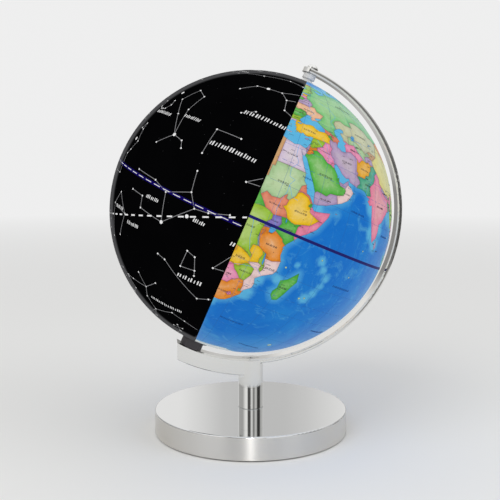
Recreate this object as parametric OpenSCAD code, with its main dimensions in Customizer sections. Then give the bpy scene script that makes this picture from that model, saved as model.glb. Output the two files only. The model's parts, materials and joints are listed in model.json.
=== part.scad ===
// Illuminated desk globe on a chromed stand.
// A printed ball, half star chart and half world map, turns on a tilted polar axis inside a
// flat-bar meridian. A channelled arm and a short stem carry the meridian on a round weighted
// base, and hide the cable of the lamp that lights the ball from inside.
// Millimetres. +Z is up, the origin is the centre of the footprint, the meridian lies in the XZ
// plane and -Y is the front.

/* [Ball] */
// Outside diameter of the printed ball
ball_d = 200; // [196:1:204]
// Wall thickness of the moulded half shells
shell_t = 1.6; // [1.2:0.1:2.2]
// Tilt of the polar axis from the vertical, towards +X
axis_tilt = 23.5; // [22:0.5:25]
// Turn of the printed seam from square to the meridian, at rest
seam_turn = 7.2; // [0:0.1:20]

/* [Meridian] */
// Free space between the ball and the meridian bar
ball_gap = 6.7; // [6.5:0.1:7.5]
// Thickness of the meridian bar
arc_t = 3.3; // [3:0.1:3.6]
// Width of the meridian bar, front to back
arc_w = 12; // [11:0.5:12.5]
// Radius along the long edges of the meridian bar
arc_edge = 1.2; // [0.6:0.1:1.4]

/* [Arm and stem] */
// Depth of the arm below the meridian bar
arm_depth = 8.2; // [7.6:0.2:9]
// Thickness of the arm's walls at the front and the back of the bar
arm_wall = 1.3; // [1:0.1:1.6]
// Distance from the stem to the cut end of the arm
tail_x = 53.5; // [53:0.5:55]
// Diameter of the stem and of the boss above it
stem_d = 18; // [17:0.5:20]
// Height of the stem tube between base and boss
stem_h = 16; // [14:1:30]
// Height of the boss under the arm, up to the meridian bar
boss_h = 17; // [16:1:20]

/* [Base] */
// Diameter of the base
base_d = 140; // [138:1:150]
// Height of the base, with its foot pad
base_h = 17; // [17:0.5:20]
// Wall thickness of the base shell
base_wall = 1.5; // [1.2:0.1:2]

/* [Hidden] */
$fn = 96;

eps = 0.05;                         // play between parts that touch
big = 400;                          // larger than the globe, for cutting

// Ball and its pole fittings, along the polar axis from the ball's centre
skin_t = 0.15;
ball_r = ball_d / 2;
shell_r = ball_r - skin_t - eps;
shell_in = shell_r - shell_t;
north_hole_r = 4.6;
south_hole_r = 8.6;
pin_r = 2;
run = 0.05;                         // radial running clearance
spigot_r = 7;
bush_top = ball_r + 2.4;
washer_t = 0.4;
tape_w = 1.8;
tape_t = 0.12;

// Meridian bar and arm: radii round the ball's centre, angles from +X towards +Z
arc_ri = ball_r + ball_gap;
arc_ro = arc_ri + arc_t;
arm_ri = arc_ro + eps;
arm_top_r = arc_ri + 0.5;
slot_w = arc_w + 0.2;
arm_w = slot_w + 2 * arm_wall;
arm_ro = arc_ro + arm_depth;
arm_edge = 1;
north_a = 90 - axis_tilt;
south_a = north_a - 180;
tail_a = south_a - 0.3;
channel_w = 8;
channel_floor = arm_ro - 2;
end_r = arc_w / 2 + 0.2;
arc_pins_at = [-5, 5];
lamp_screws = [-4, 4];
cable_r = 1.1;
cable_path_r = arm_ri + 2.95;
cable_leaves_a = -97;

// Heights
centre_z = base_h + stem_h + boss_h + arc_ro;
boss_z = base_h + stem_h;
stem_r = stem_d / 2;
nipple_r = 5;
nipple_in = 3.9;
nipple_top = boss_z + 7;
cable_turn = [-1.5, 0, boss_z + 9.6];
fillet_r = 1.6;

// Base
base_r = base_d / 2;
skirt_z = 0.8;
roof_t = 1.5;
roof_z = base_h - roof_t;
base_in = base_r - base_wall;
plate_t = 2;
plate_top = skirt_z + plate_t;
plate_r = base_in - 0.3;
ballast_r = base_r - 6;
ballast_t = 4.5;
ballast_z = roof_z - 0.1 - ballast_t;
post_at = 48;
post_angles = [30, 150, 270];
pad_r = 64;
pad_hole_r = 3.5;
nut_t = 3.5;
nipple_washer_t = 1.2;
nut_z = ballast_z - nipple_washer_t - nut_t;

// Driver board at the back of the base, with the socket and the switch on its edge
board = [40, 22, 1.6];
board_y = 42;
board_z = plate_top + 3.2;
board_top = board_z + board[2];
board_holes = [-16, 16];
socket_x = 10.5;
socket = [9, 8.4, 3.2];
switch_x = -14;
switch_size = [8, 8, 7];
switch_y = board_y + 11;
button_r = 2.4;
button_z = board_top + switch_size[2] / 2;

// ---------- shared shapes ----------

// Children have +Z pointing away from the ball's centre at the given angle of the meridian plane.
module along_radius(angle)
    translate([0, 0, centre_z]) rotate([0, 90 - angle, 0]) children();

// A flat bar with rounded edges, bent round the ball's centre from one angle to another.
module bent_bar(r_in, r_out, width, edge, from, to) {
    t = r_out - r_in;
    translate([0, 0, centre_z]) rotate([90, 0, 0]) rotate([0, 0, from])
        rotate_extrude(angle = to - from) translate([r_in, -width / 2]) {
            translate([edge, 0]) square([t - 2 * edge, width]);
            translate([0, edge]) square([t, width - 2 * edge]);
            for (x = [edge, t - edge], y = [edge, width - edge])
                translate([x, y]) circle(edge, $fn = 24);
        }
}

// A ring: outer radius, inner radius, and the heights of its two faces.
module ring(r_out, r_in, z0, z1)
    translate([0, 0, z0]) difference() {
        cylinder(r = r_out, h = z1 - z0);
        translate([0, 0, -1]) cylinder(r = r_in, h = z1 - z0 + 2);
    }

// A round rod from point p to point q.
module rod(p, q, r) {
    d = q - p;
    translate(p) rotate([0, acos(d[2] / norm(d)), atan2(d[1], d[0])])
        cylinder(r = r, h = norm(d));
}

// A chain of rods with ball corners a little fatter than the rods.
module run_through(points, r)
    for (i = [0 : len(points) - 1]) {
        if (i > 0) rod(points[i - 1], points[i], r);
        translate(points[i]) sphere(r + eps);
    }

// Half section of a spherical wall, open round each pole by the given radius.
module wall_section(r_out, r_in, z_from, z_to, open_r)
    intersection() {
        difference() {
            circle(r_out);
            circle(r_in);
        }
        translate([open_r, z_from]) square([big, z_to - z_from]);
    }

// Half of the print, on one side of the seam plane.
module half_skin(side)
    along_radius(north_a) rotate([0, 0, -90 - seam_turn + (side > 0 ? 0 : 180)])
        rotate_extrude(angle = 180) difference() {
            wall_section(ball_r, ball_r - skin_t, -big, big, north_hole_r);
            translate([0, -big]) square([south_hole_r, big]);
        }

// A countersunk head, flat at z = 0, with its shank down along -Z.
module countersunk(head_r, shank_r, head_t, length) {
    translate([0, 0, -head_t]) cylinder(r1 = shank_r, r2 = head_r, h = head_t);
    translate([0, 0, -length]) cylinder(r = shank_r, h = length);
}

module cross_recess(size, depth)
    for (a = [0, 90])
        rotate([0, 0, a]) translate([-size / 2, -size / 10, -depth])
            cube([size, size / 5, depth + 1]);

// ---------- ball ----------

module north_hemisphere()
    color("white") along_radius(north_a) rotate_extrude()
        wall_section(shell_r, shell_in, 0, big, north_hole_r);

module south_hemisphere()
    color("white") along_radius(north_a) rotate_extrude()
        wall_section(shell_r, shell_in, -big, 0, south_hole_r);

// Glued inside the joint between the two half shells.
module equator_ring()
    color("white") along_radius(north_a) rotate_extrude()
        intersection() {
            difference() {
                circle(shell_in - eps);
                circle(shell_in - 1.4);
            }
            translate([0, -5]) square([big, 10]);
        }

// Marks the equator of the map, from one end of the seam to the other.
module equator_tape()
    color("navy") along_radius(north_a) rotate([0, 0, -90 - seam_turn])
        rotate_extrude(angle = 180) translate([ball_r + 0.02, -tape_w / 2]) square([tape_t, tape_w]);

module day_map_skin() color("dodgerblue") half_skin(1);

module night_chart_skin() color("black") half_skin(-1);

// Turns on the axis pin.
module north_bush()
    color("white") along_radius(north_a) difference() {
        union() {
            translate([0, 0, shell_in - 2.3]) cylinder(r = 8, h = 1.6);
            translate([0, 0, shell_in - 1]) cylinder(r = north_hole_r - 0.1, h = ball_r - shell_in + 2);
            translate([0, 0, ball_r + 0.1]) cylinder(r = 5, h = 0.8);
            translate([0, 0, ball_r + 0.5]) cylinder(r = 3.4, h = bush_top - ball_r - 0.5);
        }
        translate([0, 0, shell_in - 5]) cylinder(r = pin_r + run, h = 20);
    }

// Turns on the spigot of the lamp base.
module south_collar()
    color("dimgray") along_radius(south_a) difference() {
        union() {
            translate([0, 0, shell_in - 2.6]) cylinder(r = 12, h = 1.7);
            translate([0, 0, shell_in - 2]) cylinder(r = south_hole_r - 0.1, h = ball_r - shell_in + 2.5);
            translate([0, 0, ball_r + 0.05]) cylinder(r = 9.6, h = 0.85);
        }
        translate([0, 0, shell_in - 5]) cylinder(r = spigot_r + run, h = 12);
    }

// ---------- meridian and its pivots ----------

// Cuts the bar's end to a half circle that is centred on the given angle. The cut lies on the side
// of larger angles when outward is 1, and of smaller ones when it is -1.
module end_cut(angle, outward)
    along_radius(angle) difference() {
        translate([outward > 0 ? -20 : 0, -10, arc_ri - 5]) cube(20);
        cylinder(r = end_r, h = big);
    }

module meridian_arc()
    color("silver") difference() {
        bent_bar(arc_ri, arc_ro, arc_w, arc_edge, tail_a - 6, north_a + 6);
        end_cut(north_a, 1);
        end_cut(tail_a, -1);
        along_radius(north_a) cylinder(r = pin_r + run, h = big);
        along_radius(south_a) {
            cylinder(r = 2, h = big);
            for (x = lamp_screws) translate([x, 0, 0]) cylinder(r = 1.35, h = big);
        }
        translate([0, 0, centre_z - arc_ri + 0.5]) countersunk(3.6, 2.15, 2.5, 6);
        for (x = arc_pins_at) translate([x, 0, centre_z - arc_ro - 1]) cylinder(r = 1.25, h = 8);
    }

module arc_screw()
    color("silver") translate([0, 0, centre_z - arc_ri]) difference() {
        countersunk(3, 2, 1.9, 7.8);
        cross_recess(3.4, 1.2);
    }

// Keep the meridian from turning on its one screw.
module arc_pins()
    color("silver") for (x = arc_pins_at)
        translate([x, 0, centre_z - arc_ro - 4]) cylinder(r = 1.2, h = 4 + arc_t);

// Fixed in the meridian; the ball's north bush turns on it.
module axis_pin()
    color("silver") along_radius(north_a) translate([0, 0, ball_r - 7])
        cylinder(r = pin_r, h = arc_ro - ball_r + 8.7);

module acorn_nut() {
    skirt_h = 1.3;
    dome_h = 2.4;
    nut_r = 4.1;
    dome_r = (nut_r * nut_r + dome_h * dome_h) / (2 * dome_h);
    color("silver") along_radius(north_a) translate([0, 0, arc_ro + eps]) difference() {
        union() {
            cylinder(r = nut_r, h = skirt_h);
            intersection() {
                translate([0, 0, skirt_h + dome_h - dome_r]) sphere(dome_r);
                translate([0, 0, skirt_h]) cylinder(r = nut_r, h = dome_h + 1);
            }
        }
        translate([0, 0, -1]) cylinder(r = pin_r + eps, h = 2.9);
    }
}

module pivot_spacer()
    color("white") along_radius(north_a)
        ring(4.6, pin_r + eps, bush_top + washer_t + 0.1, arc_ri - 0.2);

module friction_washer()
    color("white") along_radius(north_a)
        ring(4.2, pin_r + 0.1, bush_top + eps, bush_top + eps + washer_t);

// ---------- lamp ----------

// Stands on the meridian bar; its spigot is the ball's south bearing and holds the lamp post.
module lamp_base() {
    flange_r = 8;
    flange_x = 1.5;
    flange_w = 13.4;
    color("dimgray") difference() {
        along_radius(south_a) {
            translate([0, 0, ball_r - 8]) cylinder(r = spigot_r, h = 10);
            intersection() {
                translate([flange_x, 0, ball_r + 1.2]) cylinder(r = flange_r, h = ball_gap - 1.2);
                translate([-20, -flange_w / 2, 0]) cube([40, flange_w, big]);
            }
        }
        bent_bar(arc_ri - eps, arc_ro + 1, 2 * flange_w, eps, south_a - 10, south_a + 10);
        along_radius(south_a) {
            cylinder(r = 2.2, h = big);
            translate([0, 0, ball_r - 9]) cylinder(r = 3.55, h = 6);
            for (x = lamp_screws) translate([x, 0, ball_r + 3.3]) cylinder(r = 1.3, h = 10);
        }
    }
}

module lamp_base_screws()
    color("silver") along_radius(south_a) for (x = lamp_screws) translate([x, 0, 0]) {
        translate([0, 0, ball_r + 3.5]) cylinder(r = 1.25, h = arc_ro - ball_r - 3);
        translate([0, 0, arc_ro + eps]) cylinder(r = 2.2, h = 1.4);
    }

module lamp_post()
    color("white") along_radius(south_a) ring(3.5, 2.2, 20 + eps, ball_r - 3 - eps);

module led_board()
    color("seagreen") along_radius(south_a) translate([0, 0, 18.4]) cylinder(r = 6.2, h = 1.6);

module led_chips()
    color("yellow") along_radius(south_a) for (i = [0 : 4])
        translate(i == 0 ? [0, 0, 0] : [3.8 * cos(90 * i), 3.8 * sin(90 * i), 0])
            translate([-1, -1, 17.5]) cube([2, 2, 0.88]);

module led_diffuser()
    color("white") along_radius(south_a) difference() {
        union() {
            translate([0, 0, 11]) cylinder(r = 6.8, h = 9);
            translate([0, 0, 11]) sphere(6.8);
        }
        translate([0, 0, 11]) cylinder(r = 6.25, h = 10);
        translate([0, 0, 11]) sphere(6.25);
    }

// From the lamp, down the post, along the arm, down the stem and back to the driver board.
module lamp_cable() {
    top = 20.3;
    out = [cos(cable_leaves_a), sin(cable_leaves_a)] * cable_path_r;
    low = plate_top + 1.6;
    color("black") {
        along_radius(south_a) {
            translate([0, 0, top]) cylinder(r = cable_r, h = cable_path_r - top);
            translate([0, 0, cable_path_r]) sphere(cable_r + eps);
        }
        translate([0, 0, centre_z]) rotate([90, 0, 0]) rotate([0, 0, south_a])
            rotate_extrude(angle = cable_leaves_a - south_a)
                translate([cable_path_r, 0]) circle(cable_r);
        run_through([
            [out[0], 0, centre_z + out[1]],
            cable_turn,
            [0, 0, nipple_top - 1],
            [0, 0, low],
            [0, board_y + 0.8, low]
        ], cable_r);
    }
}

// ---------- arm and stem ----------

// Casting: the curved arm with a slot that holds the meridian bar over a cable channel, the boss
// over the stem, and the boss's spigot.
module arm() {
    fillet_x = stem_r + fillet_r;
    fillet_z = centre_z - sqrt(pow(arm_ro + fillet_r, 2) - fillet_x * fillet_x);
    out = [cos(cable_leaves_a), sin(cable_leaves_a)] * cable_path_r;
    color("silver") difference() {
        union() {
            intersection() {
                bent_bar(arm_top_r - arm_edge, arm_ro, arm_w, arm_edge, -128, -90);
                translate([-tail_x, -big / 2, 0]) cube([tail_x + 1, big, big]);
            }
            translate([0, 0, boss_z]) cylinder(r = stem_r, h = boss_h + arc_t + 2);
            translate([0, 0, boss_z - 5]) cylinder(r = stem_r - 1.7, h = 6);
            translate([0, arm_w / 2 - arm_edge / 2, 0]) rotate([90, 0, 0])
                linear_extrude(arm_w - arm_edge) difference() {
                    translate([-fillet_x, fillet_z]) square([fillet_r + 3.2, 3.5]);
                    translate([-fillet_x, fillet_z]) circle(fillet_r);
                }
        }
        translate([0, 0, centre_z]) rotate([90, 0, 0]) cylinder(r = arm_top_r, h = big, center = true);
        bent_bar(arc_ri - 3, arm_ri, slot_w, eps, south_a - 3.9, south_a + 40);
        intersection() {
            bent_bar(arm_ri - 2, channel_floor, channel_w, eps, south_a - 3.9, cable_leaves_a);
            translate([2 - tail_x, -big / 2, 0]) cube([big, big, big]);
        }
        rod([out[0] - 1.5, 0, centre_z + out[1] + 0.6], cable_turn, 1.9);
        translate([0, 0, boss_z - 6]) cylinder(r = nipple_r + eps, h = 13.1);
        translate([0, 0, boss_z]) cylinder(r = 3.9, h = 11);
        translate([0, 0, centre_z - arc_ri - 8.4]) cylinder(r = 2.05, h = 10);
        for (x = arc_pins_at) translate([x, 0, centre_z - arc_ro - 4.2]) cylinder(r = 1.25, h = 10);
    }
}

// Bevelled at the foot, where it stands on the base.
module stem_tube() {
    bevel = 0.5;
    color("silver") difference() {
        union() {
            translate([0, 0, base_h]) cylinder(r1 = stem_r - bevel, r2 = stem_r, h = bevel);
            translate([0, 0, base_h + bevel]) cylinder(r = stem_r, h = boss_z - eps - base_h - bevel);
        }
        translate([0, 0, base_h - 1]) cylinder(r = stem_r - 1.5, h = stem_h + 2);
    }
}

// Hollow threaded rod that clamps the arm, the stem, the base and the ballast together.
module threaded_nipple()
    color("goldenrod") ring(nipple_r, nipple_in, nut_z, nipple_top);

module nipple_washer()
    color("silver") ring(9.5, nipple_r + 0.2, ballast_z - nipple_washer_t, ballast_z - 0.02);

module nipple_nut()
    color("goldenrod") translate([0, 0, nut_z]) difference() {
        cylinder(r = 8.1, h = nut_t - 0.02, $fn = 6);
        translate([0, 0, -1]) cylinder(r = nipple_r + eps, h = nut_t + 2);
    }

// ---------- base ----------

module at_posts() for (a = post_angles) rotate([0, 0, a]) translate([post_at, 0, 0]) children();

module base_shell() {
    edge = 1;
    color("silver") difference() {
        rotate_extrude() difference() {
            union() {
                translate([0, skirt_z]) square([base_r, base_h - skirt_z - edge]);
                translate([0, base_h - edge - 1]) square([base_r - edge, edge + 1]);
                translate([base_r - edge, base_h - edge]) circle(edge);
            }
            translate([0, 0]) square([base_in, roof_z]);
            square([nipple_r + 0.2, big]);
        }
        translate([switch_x, board_y + 20, button_z]) rotate([-90, 0, 0]) cylinder(r = button_r + 0.3, h = 20);
        translate([socket_x - socket[0] / 2 - 0.3, board_y + 20, board_top - 0.3])
            cube([socket[0] + 0.6, 20, socket[2] + 0.6]);
    }
}

// Cast weight under the roof of the shell, with three posts for the bottom plate.
module ballast()
    color("darkslategray") difference() {
        union() {
            translate([0, 0, ballast_z]) cylinder(r = ballast_r, h = ballast_t);
            at_posts() translate([0, 0, plate_top + eps]) cylinder(r = 4, h = ballast_z - plate_top);
        }
        translate([0, 0, ballast_z - 1]) cylinder(r = nipple_r + 0.2, h = ballast_t + 2);
        translate([-board[0] / 2 - 3, board_y - 3, 0]) cube([board[0] + 6, big, big]);
        at_posts() cylinder(r = 1.55, h = plate_top + 6);
    }

module base_plate()
    color("black") difference() {
        union() {
            translate([0, 0, skirt_z]) cylinder(r = plate_r, h = plate_t);
            for (x = board_holes) translate([x, board_y + 5, skirt_z + 1])
                cylinder(r = 2.5, h = board_z - eps - skirt_z - 1);
        }
        cylinder(r = pad_r + 0.1, h = skirt_z + 0.6);
        at_posts() {
            cylinder(r = 1.7, h = 10);
            cylinder(r = 3.2, h = skirt_z + 1.2);
        }
        for (x = board_holes) translate([x, board_y + 5, skirt_z + 1.4]) cylinder(r = 0.95, h = 10);
    }

// Foam sheet under the plate, with a hole at each screw.
module foot_pad()
    color("dimgray") difference() {
        cylinder(r = pad_r, h = skirt_z + 0.55);
        at_posts() translate([0, 0, -1]) cylinder(r = pad_hole_r, h = 5);
    }

module base_plate_screws()
    color("silver") at_posts() difference() {
        union() {
            translate([0, 0, 0.6]) cylinder(r = 3, h = 1.35);
            translate([0, 0, 1]) cylinder(r = 1.5, h = plate_top + 3.5);
        }
        translate([0, 0, 0.6]) mirror([0, 0, 1]) cross_recess(3, 0.7);
    }

// ---------- electrics in the base ----------

module driver_board()
    color("seagreen") difference() {
        translate([-board[0] / 2, board_y, board_z]) cube(board);
        for (x = board_holes) translate([x, board_y + 5, 0]) cylinder(r = 1.2, h = big);
    }

// Inductor, two capacitors and the converter chip.
module board_parts()
    color("dimgray") translate([0, board_y, board_top + 0.02]) {
        translate([-5, 5, 0]) cylinder(r = 3, h = 3.5);
        for (x = [1, 6]) translate([x, 4, 0]) cylinder(r = 1.9, h = 5);
        translate([-3, 11, 0]) cube([5, 4, 1.5]);
    }

module board_screws()
    color("silver") for (x = board_holes) translate([x, board_y + 5, 0]) {
        translate([0, 0, board_top + 0.02]) cylinder(r = 1.8, h = 1.2);
        translate([0, 0, board_z - 3]) cylinder(r = 0.9, h = board[2] + 3.5);
    }

module cable_plug()
    color("ivory") difference() {
        translate([-3, board_y + 0.6, plate_top + 0.2]) cube([6, 4.4, board_z - plate_top - 0.25]);
        translate([0, board_y, plate_top + 1.6]) rotate([-90, 0, 0]) cylinder(r = cable_r + eps, h = 2.5);
    }

module power_socket()
    color("silver") translate([socket_x - socket[0] / 2, board_y + 17.8, board_top + 0.02]) difference() {
        cube(socket);
        translate([0.4, 1.5, 0.4]) cube([socket[0] - 0.8, socket[1], socket[2] - 0.8]);
    }

module socket_tongue()
    color("black") translate([socket_x - 3.2, board_y + 19.35, board_top + socket[2] / 2 - 0.35])
        cube([6.4, 5, 0.7]);

module switch_body()
    color("black") translate([switch_x, switch_y, board_top + 0.02]) difference() {
        translate([-switch_size[0] / 2, 0, 0]) cube(switch_size);
        translate([0, 2, switch_size[2] / 2]) rotate([-90, 0, 0]) cylinder(r = button_r + 0.08, h = 10);
    }

// Slides 1.5 mm inwards, in the bore of the switch body.
module switch_button()
    color("dimgray") translate([switch_x, switch_y, board_top + 0.02 + switch_size[2] / 2]) rotate([-90, 0, 0]) {
        translate([0, 0, 4.2]) cylinder(r = button_r, h = 13.3);
        translate([0, 0, 10]) cylinder(r = button_r + 0.8, h = 1);
        intersection() {
            translate([0, 0, 17.5 - 2.4]) sphere(3.4);
            translate([0, 0, 17.4]) cylinder(r = button_r, h = 2);
        }
    }

north_hemisphere();
south_hemisphere();
equator_ring();
equator_tape();
day_map_skin();
night_chart_skin();
north_bush();
south_collar();
meridian_arc();
arm();
arc_screw();
arc_pins();
axis_pin();
acorn_nut();
pivot_spacer();
friction_washer();
lamp_base();
lamp_base_screws();
lamp_post();
led_board();
led_chips();
led_diffuser();
lamp_cable();
stem_tube();
threaded_nipple();
nipple_washer();
nipple_nut();
base_shell();
ballast();
base_plate();
foot_pad();
base_plate_screws();
driver_board();
board_parts();
board_screws();
cable_plug();
power_socket();
socket_tongue();
switch_body();
switch_button();
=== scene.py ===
"""The looks of a lit desk globe, half star chart and half world map, on a chromed stand.

The printed sheets are built as meshes: coast and border lines cut each sheet into regions, and
each region takes its print colour. Star figures, grid lines and label marks are thin strips of
ink on the sheets. Metres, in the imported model's frame.
"""
import json
import math
import random
from collections import deque

import bmesh
import bpy
import numpy as np
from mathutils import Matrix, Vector
from mathutils.geometry import delaunay_2d_cdt
from mathutils.kdtree import KDTree


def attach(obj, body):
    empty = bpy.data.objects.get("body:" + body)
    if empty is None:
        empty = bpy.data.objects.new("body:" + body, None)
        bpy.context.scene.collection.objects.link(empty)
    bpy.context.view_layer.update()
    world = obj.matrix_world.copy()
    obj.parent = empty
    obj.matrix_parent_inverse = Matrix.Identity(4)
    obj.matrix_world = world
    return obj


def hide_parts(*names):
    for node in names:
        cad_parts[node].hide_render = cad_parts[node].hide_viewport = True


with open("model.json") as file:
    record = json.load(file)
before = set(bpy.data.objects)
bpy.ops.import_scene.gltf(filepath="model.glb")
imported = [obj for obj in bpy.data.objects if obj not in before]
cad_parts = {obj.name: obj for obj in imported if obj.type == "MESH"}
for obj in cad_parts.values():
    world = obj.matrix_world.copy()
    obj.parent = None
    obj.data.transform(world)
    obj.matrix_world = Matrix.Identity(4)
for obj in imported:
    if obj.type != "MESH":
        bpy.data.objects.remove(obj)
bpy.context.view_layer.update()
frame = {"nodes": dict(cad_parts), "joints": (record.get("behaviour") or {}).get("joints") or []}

MM = 0.001
NODES = frame["nodes"]
SPIN = next(joint for joint in frame["joints"] if joint["name"] == "globe_spin")
random.seed(4)


# ---------- the ball's own directions, from the frame ----------

def node_points(name):
    return np.array([v.co for v in NODES[name].data.vertices])


CENTRE = np.array(SPIN["pos_m"])
POLE = np.array(SPIN["axis"]) / np.linalg.norm(SPIN["axis"])
day_points = node_points("day_map_skin") - CENTRE
BALL_R = float(np.linalg.norm(day_points, axis=1).max())
DAY = day_points.mean(axis=0)
DAY = DAY - POLE * (DAY @ POLE)
DAY = DAY / np.linalg.norm(DAY)
SEAM = np.cross(DAY, POLE)
SKIN_T = 0.15 * MM
# Where the seam meets the equator on the map and on the chart, and the chart's turn, in degrees.
SEAM_LON = 23.5
SEAM_RA = 171.5
CHART_TURN = 4.3


def direction(lat, turn):
    """Unit vector at a latitude, turned by an angle from the seam towards the day half."""
    lat, turn = math.radians(lat), math.radians(turn)
    flat = math.cos(turn) * SEAM + math.sin(turn) * DAY
    return math.cos(lat) * flat + math.sin(lat) * POLE


def on_map(lon, lat):
    return direction(lat, lon - SEAM_LON)


def on_chart(ra, dec):
    """As on_map, for the chart, whose print is turned a little about the seam plane's normal."""
    p = direction(dec, SEAM_RA - ra)
    across, along = p @ SEAM, p @ POLE
    turn = math.radians(CHART_TURN)
    turned_across = across * math.cos(turn) + along * math.sin(turn)
    turned_along = along * math.cos(turn) - across * math.sin(turn)
    return p + (turned_across - across) * SEAM + (turned_along - along) * POLE


def numbers(text):
    """Pairs of numbers from text such as "12 -5, 13 -4"."""
    return [tuple(float(n) for n in pair.split()) for pair in text.split(",")]


# ---------- shader helpers ----------

def add(tree, kind, inputs=None, **settings):
    """A shader node with its settings, and its inputs as values or links."""
    made = tree.nodes.new("ShaderNode" + kind)
    for name, value in settings.items():
        setattr(made, name, value)
    for name, value in (inputs or {}).items():
        if isinstance(value, bpy.types.NodeSocket):
            tree.links.new(value, made.inputs[name])
        else:
            made.inputs[name].default_value = value
    return made


def srgb(red, green, blue):
    """Linear colour from 0-255 values."""
    def linear(c):
        c = c / 255
        return c / 12.92 if c <= 0.04045 else ((c + 0.055) / 1.055) ** 2.4
    return (linear(red), linear(green), linear(blue), 1.0)


def noise(tree, scale, detail=4.0, rough=0.55, stretch=None, distortion=0.0):
    """Noise on object coordinates; scale is per metre."""
    place = add(tree, "TexCoord").outputs["Object"]
    if stretch:
        place = add(tree, "Mapping", {"Vector": place, "Scale": stretch}).outputs["Vector"]
    inputs = {"Vector": place, "Scale": scale, "Detail": detail, "Roughness": rough,
              "Distortion": distortion}
    return add(tree, "TexNoise", inputs).outputs["Fac"]


def spread(tree, value, low, high, out_low=0.0, out_high=1.0):
    inputs = {"Value": value, "From Min": low, "From Max": high, "To Min": out_low,
              "To Max": out_high}
    return add(tree, "MapRange", inputs).outputs["Result"]


def mix(tree, factor, a, b, kind="MIX"):
    made = add(tree, "Mix", data_type="RGBA", blend_type=kind)
    for index, value in ((0, factor), (6, a), (7, b)):
        if isinstance(value, bpy.types.NodeSocket):
            tree.links.new(value, made.inputs[index])
        else:
            made.inputs[index].default_value = value
    return made.outputs[2]


def new_material(name, shader_inputs):
    """A material with a Principled shader; shader_inputs is a function of the node tree."""
    material = bpy.data.materials.new(name)
    material.use_nodes = True
    tree = material.node_tree
    shader = tree.nodes["Principled BSDF"]
    for key, value in shader_inputs(tree).items():
        if isinstance(value, bpy.types.NodeSocket):
            tree.links.new(value, shader.inputs[key])
        else:
            shader.inputs[key].default_value = value
    return material


def bump(tree, height, strength, depth):
    inputs = {"Height": height, "Strength": strength, "Distance": depth}
    return add(tree, "Bump", inputs).outputs["Normal"]


# ---------- materials ----------

def chrome(name, tint=(0.80, 0.80, 0.785), rough=0.07):
    """Polished plate: a little uneven in gloss, with a faint haze of fine wiping marks."""
    def inputs(tree):
        cloud = noise(tree, 26, 5)
        wipe = noise(tree, 900, 3, stretch=(1, 1, 6))
        tone = mix(tree, spread(tree, cloud, 0.3, 0.7), (*[c * 0.965 for c in tint], 1), (*tint, 1))
        gloss = spread(tree, wipe, 0.3, 0.8, rough * 0.75, rough * 1.5)
        return {"Base Color": tone, "Metallic": 1.0, "Roughness": gloss,
                "Normal": bump(tree, wipe, 0.03, 0.00002)}
    return new_material(name, inputs)


def base_chrome(name):
    """The base's polished top, and its side with a spun finish of soft gloss; the side's colour is darker
    and warmer, with painted reflection in soft upright bands.
    """
    def inputs(tree):
        up = add(tree, "SeparateXYZ", {"Vector": add(tree, "NewGeometry").outputs["Normal"]}).outputs["Z"]
        side = spread(tree, up, 0.05, 0.5, 1, 0)
        lines = noise(tree, 700, 3, stretch=(0.02, 0.02, 1))
        # Painted reflection on the side: a darker, warmer tone in soft upright bands, over its soft-gloss
        # finish.
        band = noise(tree, 9, 2, stretch=(1, 1, 0))
        side_tone_and_painted_bands = mix(tree, spread(tree, band, 0.35, 0.65), (0.69, 0.66, 0.61, 1), (0.78, 0.77, 0.75, 1))
        spun = add(tree, "Tangent", direction_type="RADIAL", axis="Z").outputs["Tangent"]
        return {"Base Color": mix(tree, side, (0.78, 0.795, 0.81, 1), side_tone_and_painted_bands), "Metallic": 1.0,
                "Roughness": spread(tree, side, 0, 1, 0.045, 0.3), "Tangent": spun,
                "Anisotropic": spread(tree, side, 0, 1, 0, 0.85), "Anisotropic Rotation": 0.25,
                "Normal": bump(tree, lines, 0.04, 0.00002)}
    return new_material(name, inputs)


def steel(name):
    def inputs(tree):
        grain = noise(tree, 1500, 3, stretch=(1, 1, 8))
        tone = mix(tree, grain, (0.5, 0.5, 0.49, 1), (0.68, 0.68, 0.67, 1))
        return {"Base Color": tone, "Metallic": 1.0, "Roughness": spread(tree, grain, 0, 1, 0.2, 0.4)}
    return new_material(name, inputs)


def toned_down(colour, share):
    """The colour with its brightness cut to the given share."""
    return tuple(c * share for c in colour[:3]) + (1,)


def plastic(name, colour, rough=0.45, grain=2400, depth=0.00003):
    """Moulded plastic with a fine sparked grain and slight tone changes."""
    def inputs(tree):
        fine = noise(tree, grain, 2)
        cloud = noise(tree, 40, 4)
        tone = mix(tree, spread(tree, cloud, 0.35, 0.65), colour, toned_down(colour, 0.86))
        return {"Base Color": tone, "Roughness": spread(tree, fine, 0.2, 0.8, rough * 0.85, rough * 1.15),
                "Normal": bump(tree, fine, 0.25, depth)}
    return new_material(name, inputs)


def opal(name):
    """Translucent white moulding that lets the lamp glow through."""
    def inputs(tree):
        cloud = noise(tree, 60, 3)
        tone = mix(tree, cloud, (0.86, 0.86, 0.83, 1), (0.95, 0.95, 0.93, 1))
        return {"Base Color": tone, "Roughness": spread(tree, cloud, 0, 1, 0.35, 0.5),
                "Emission Color": tone, "Emission Strength": 0.12,
                "Normal": bump(tree, noise(tree, 2000, 2), 0.1, 0.00002)}
    return new_material(name, inputs)


def brass(name):
    def inputs(tree):
        turn = noise(tree, 1200, 2, stretch=(1, 1, 10))
        tone = mix(tree, turn, (0.62, 0.43, 0.16, 1), (0.80, 0.60, 0.27, 1))
        return {"Base Color": tone, "Metallic": 1.0, "Roughness": spread(tree, turn, 0, 1, 0.22, 0.42)}
    return new_material(name, inputs)


def uneven_ink(tree, colour, share):
    """The colour, cut to the given share in fine patches."""
    patches = spread(tree, noise(tree, 1100, 3), 0.35, 0.65)
    return mix(tree, patches, toned_down(colour, share), colour)


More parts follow.
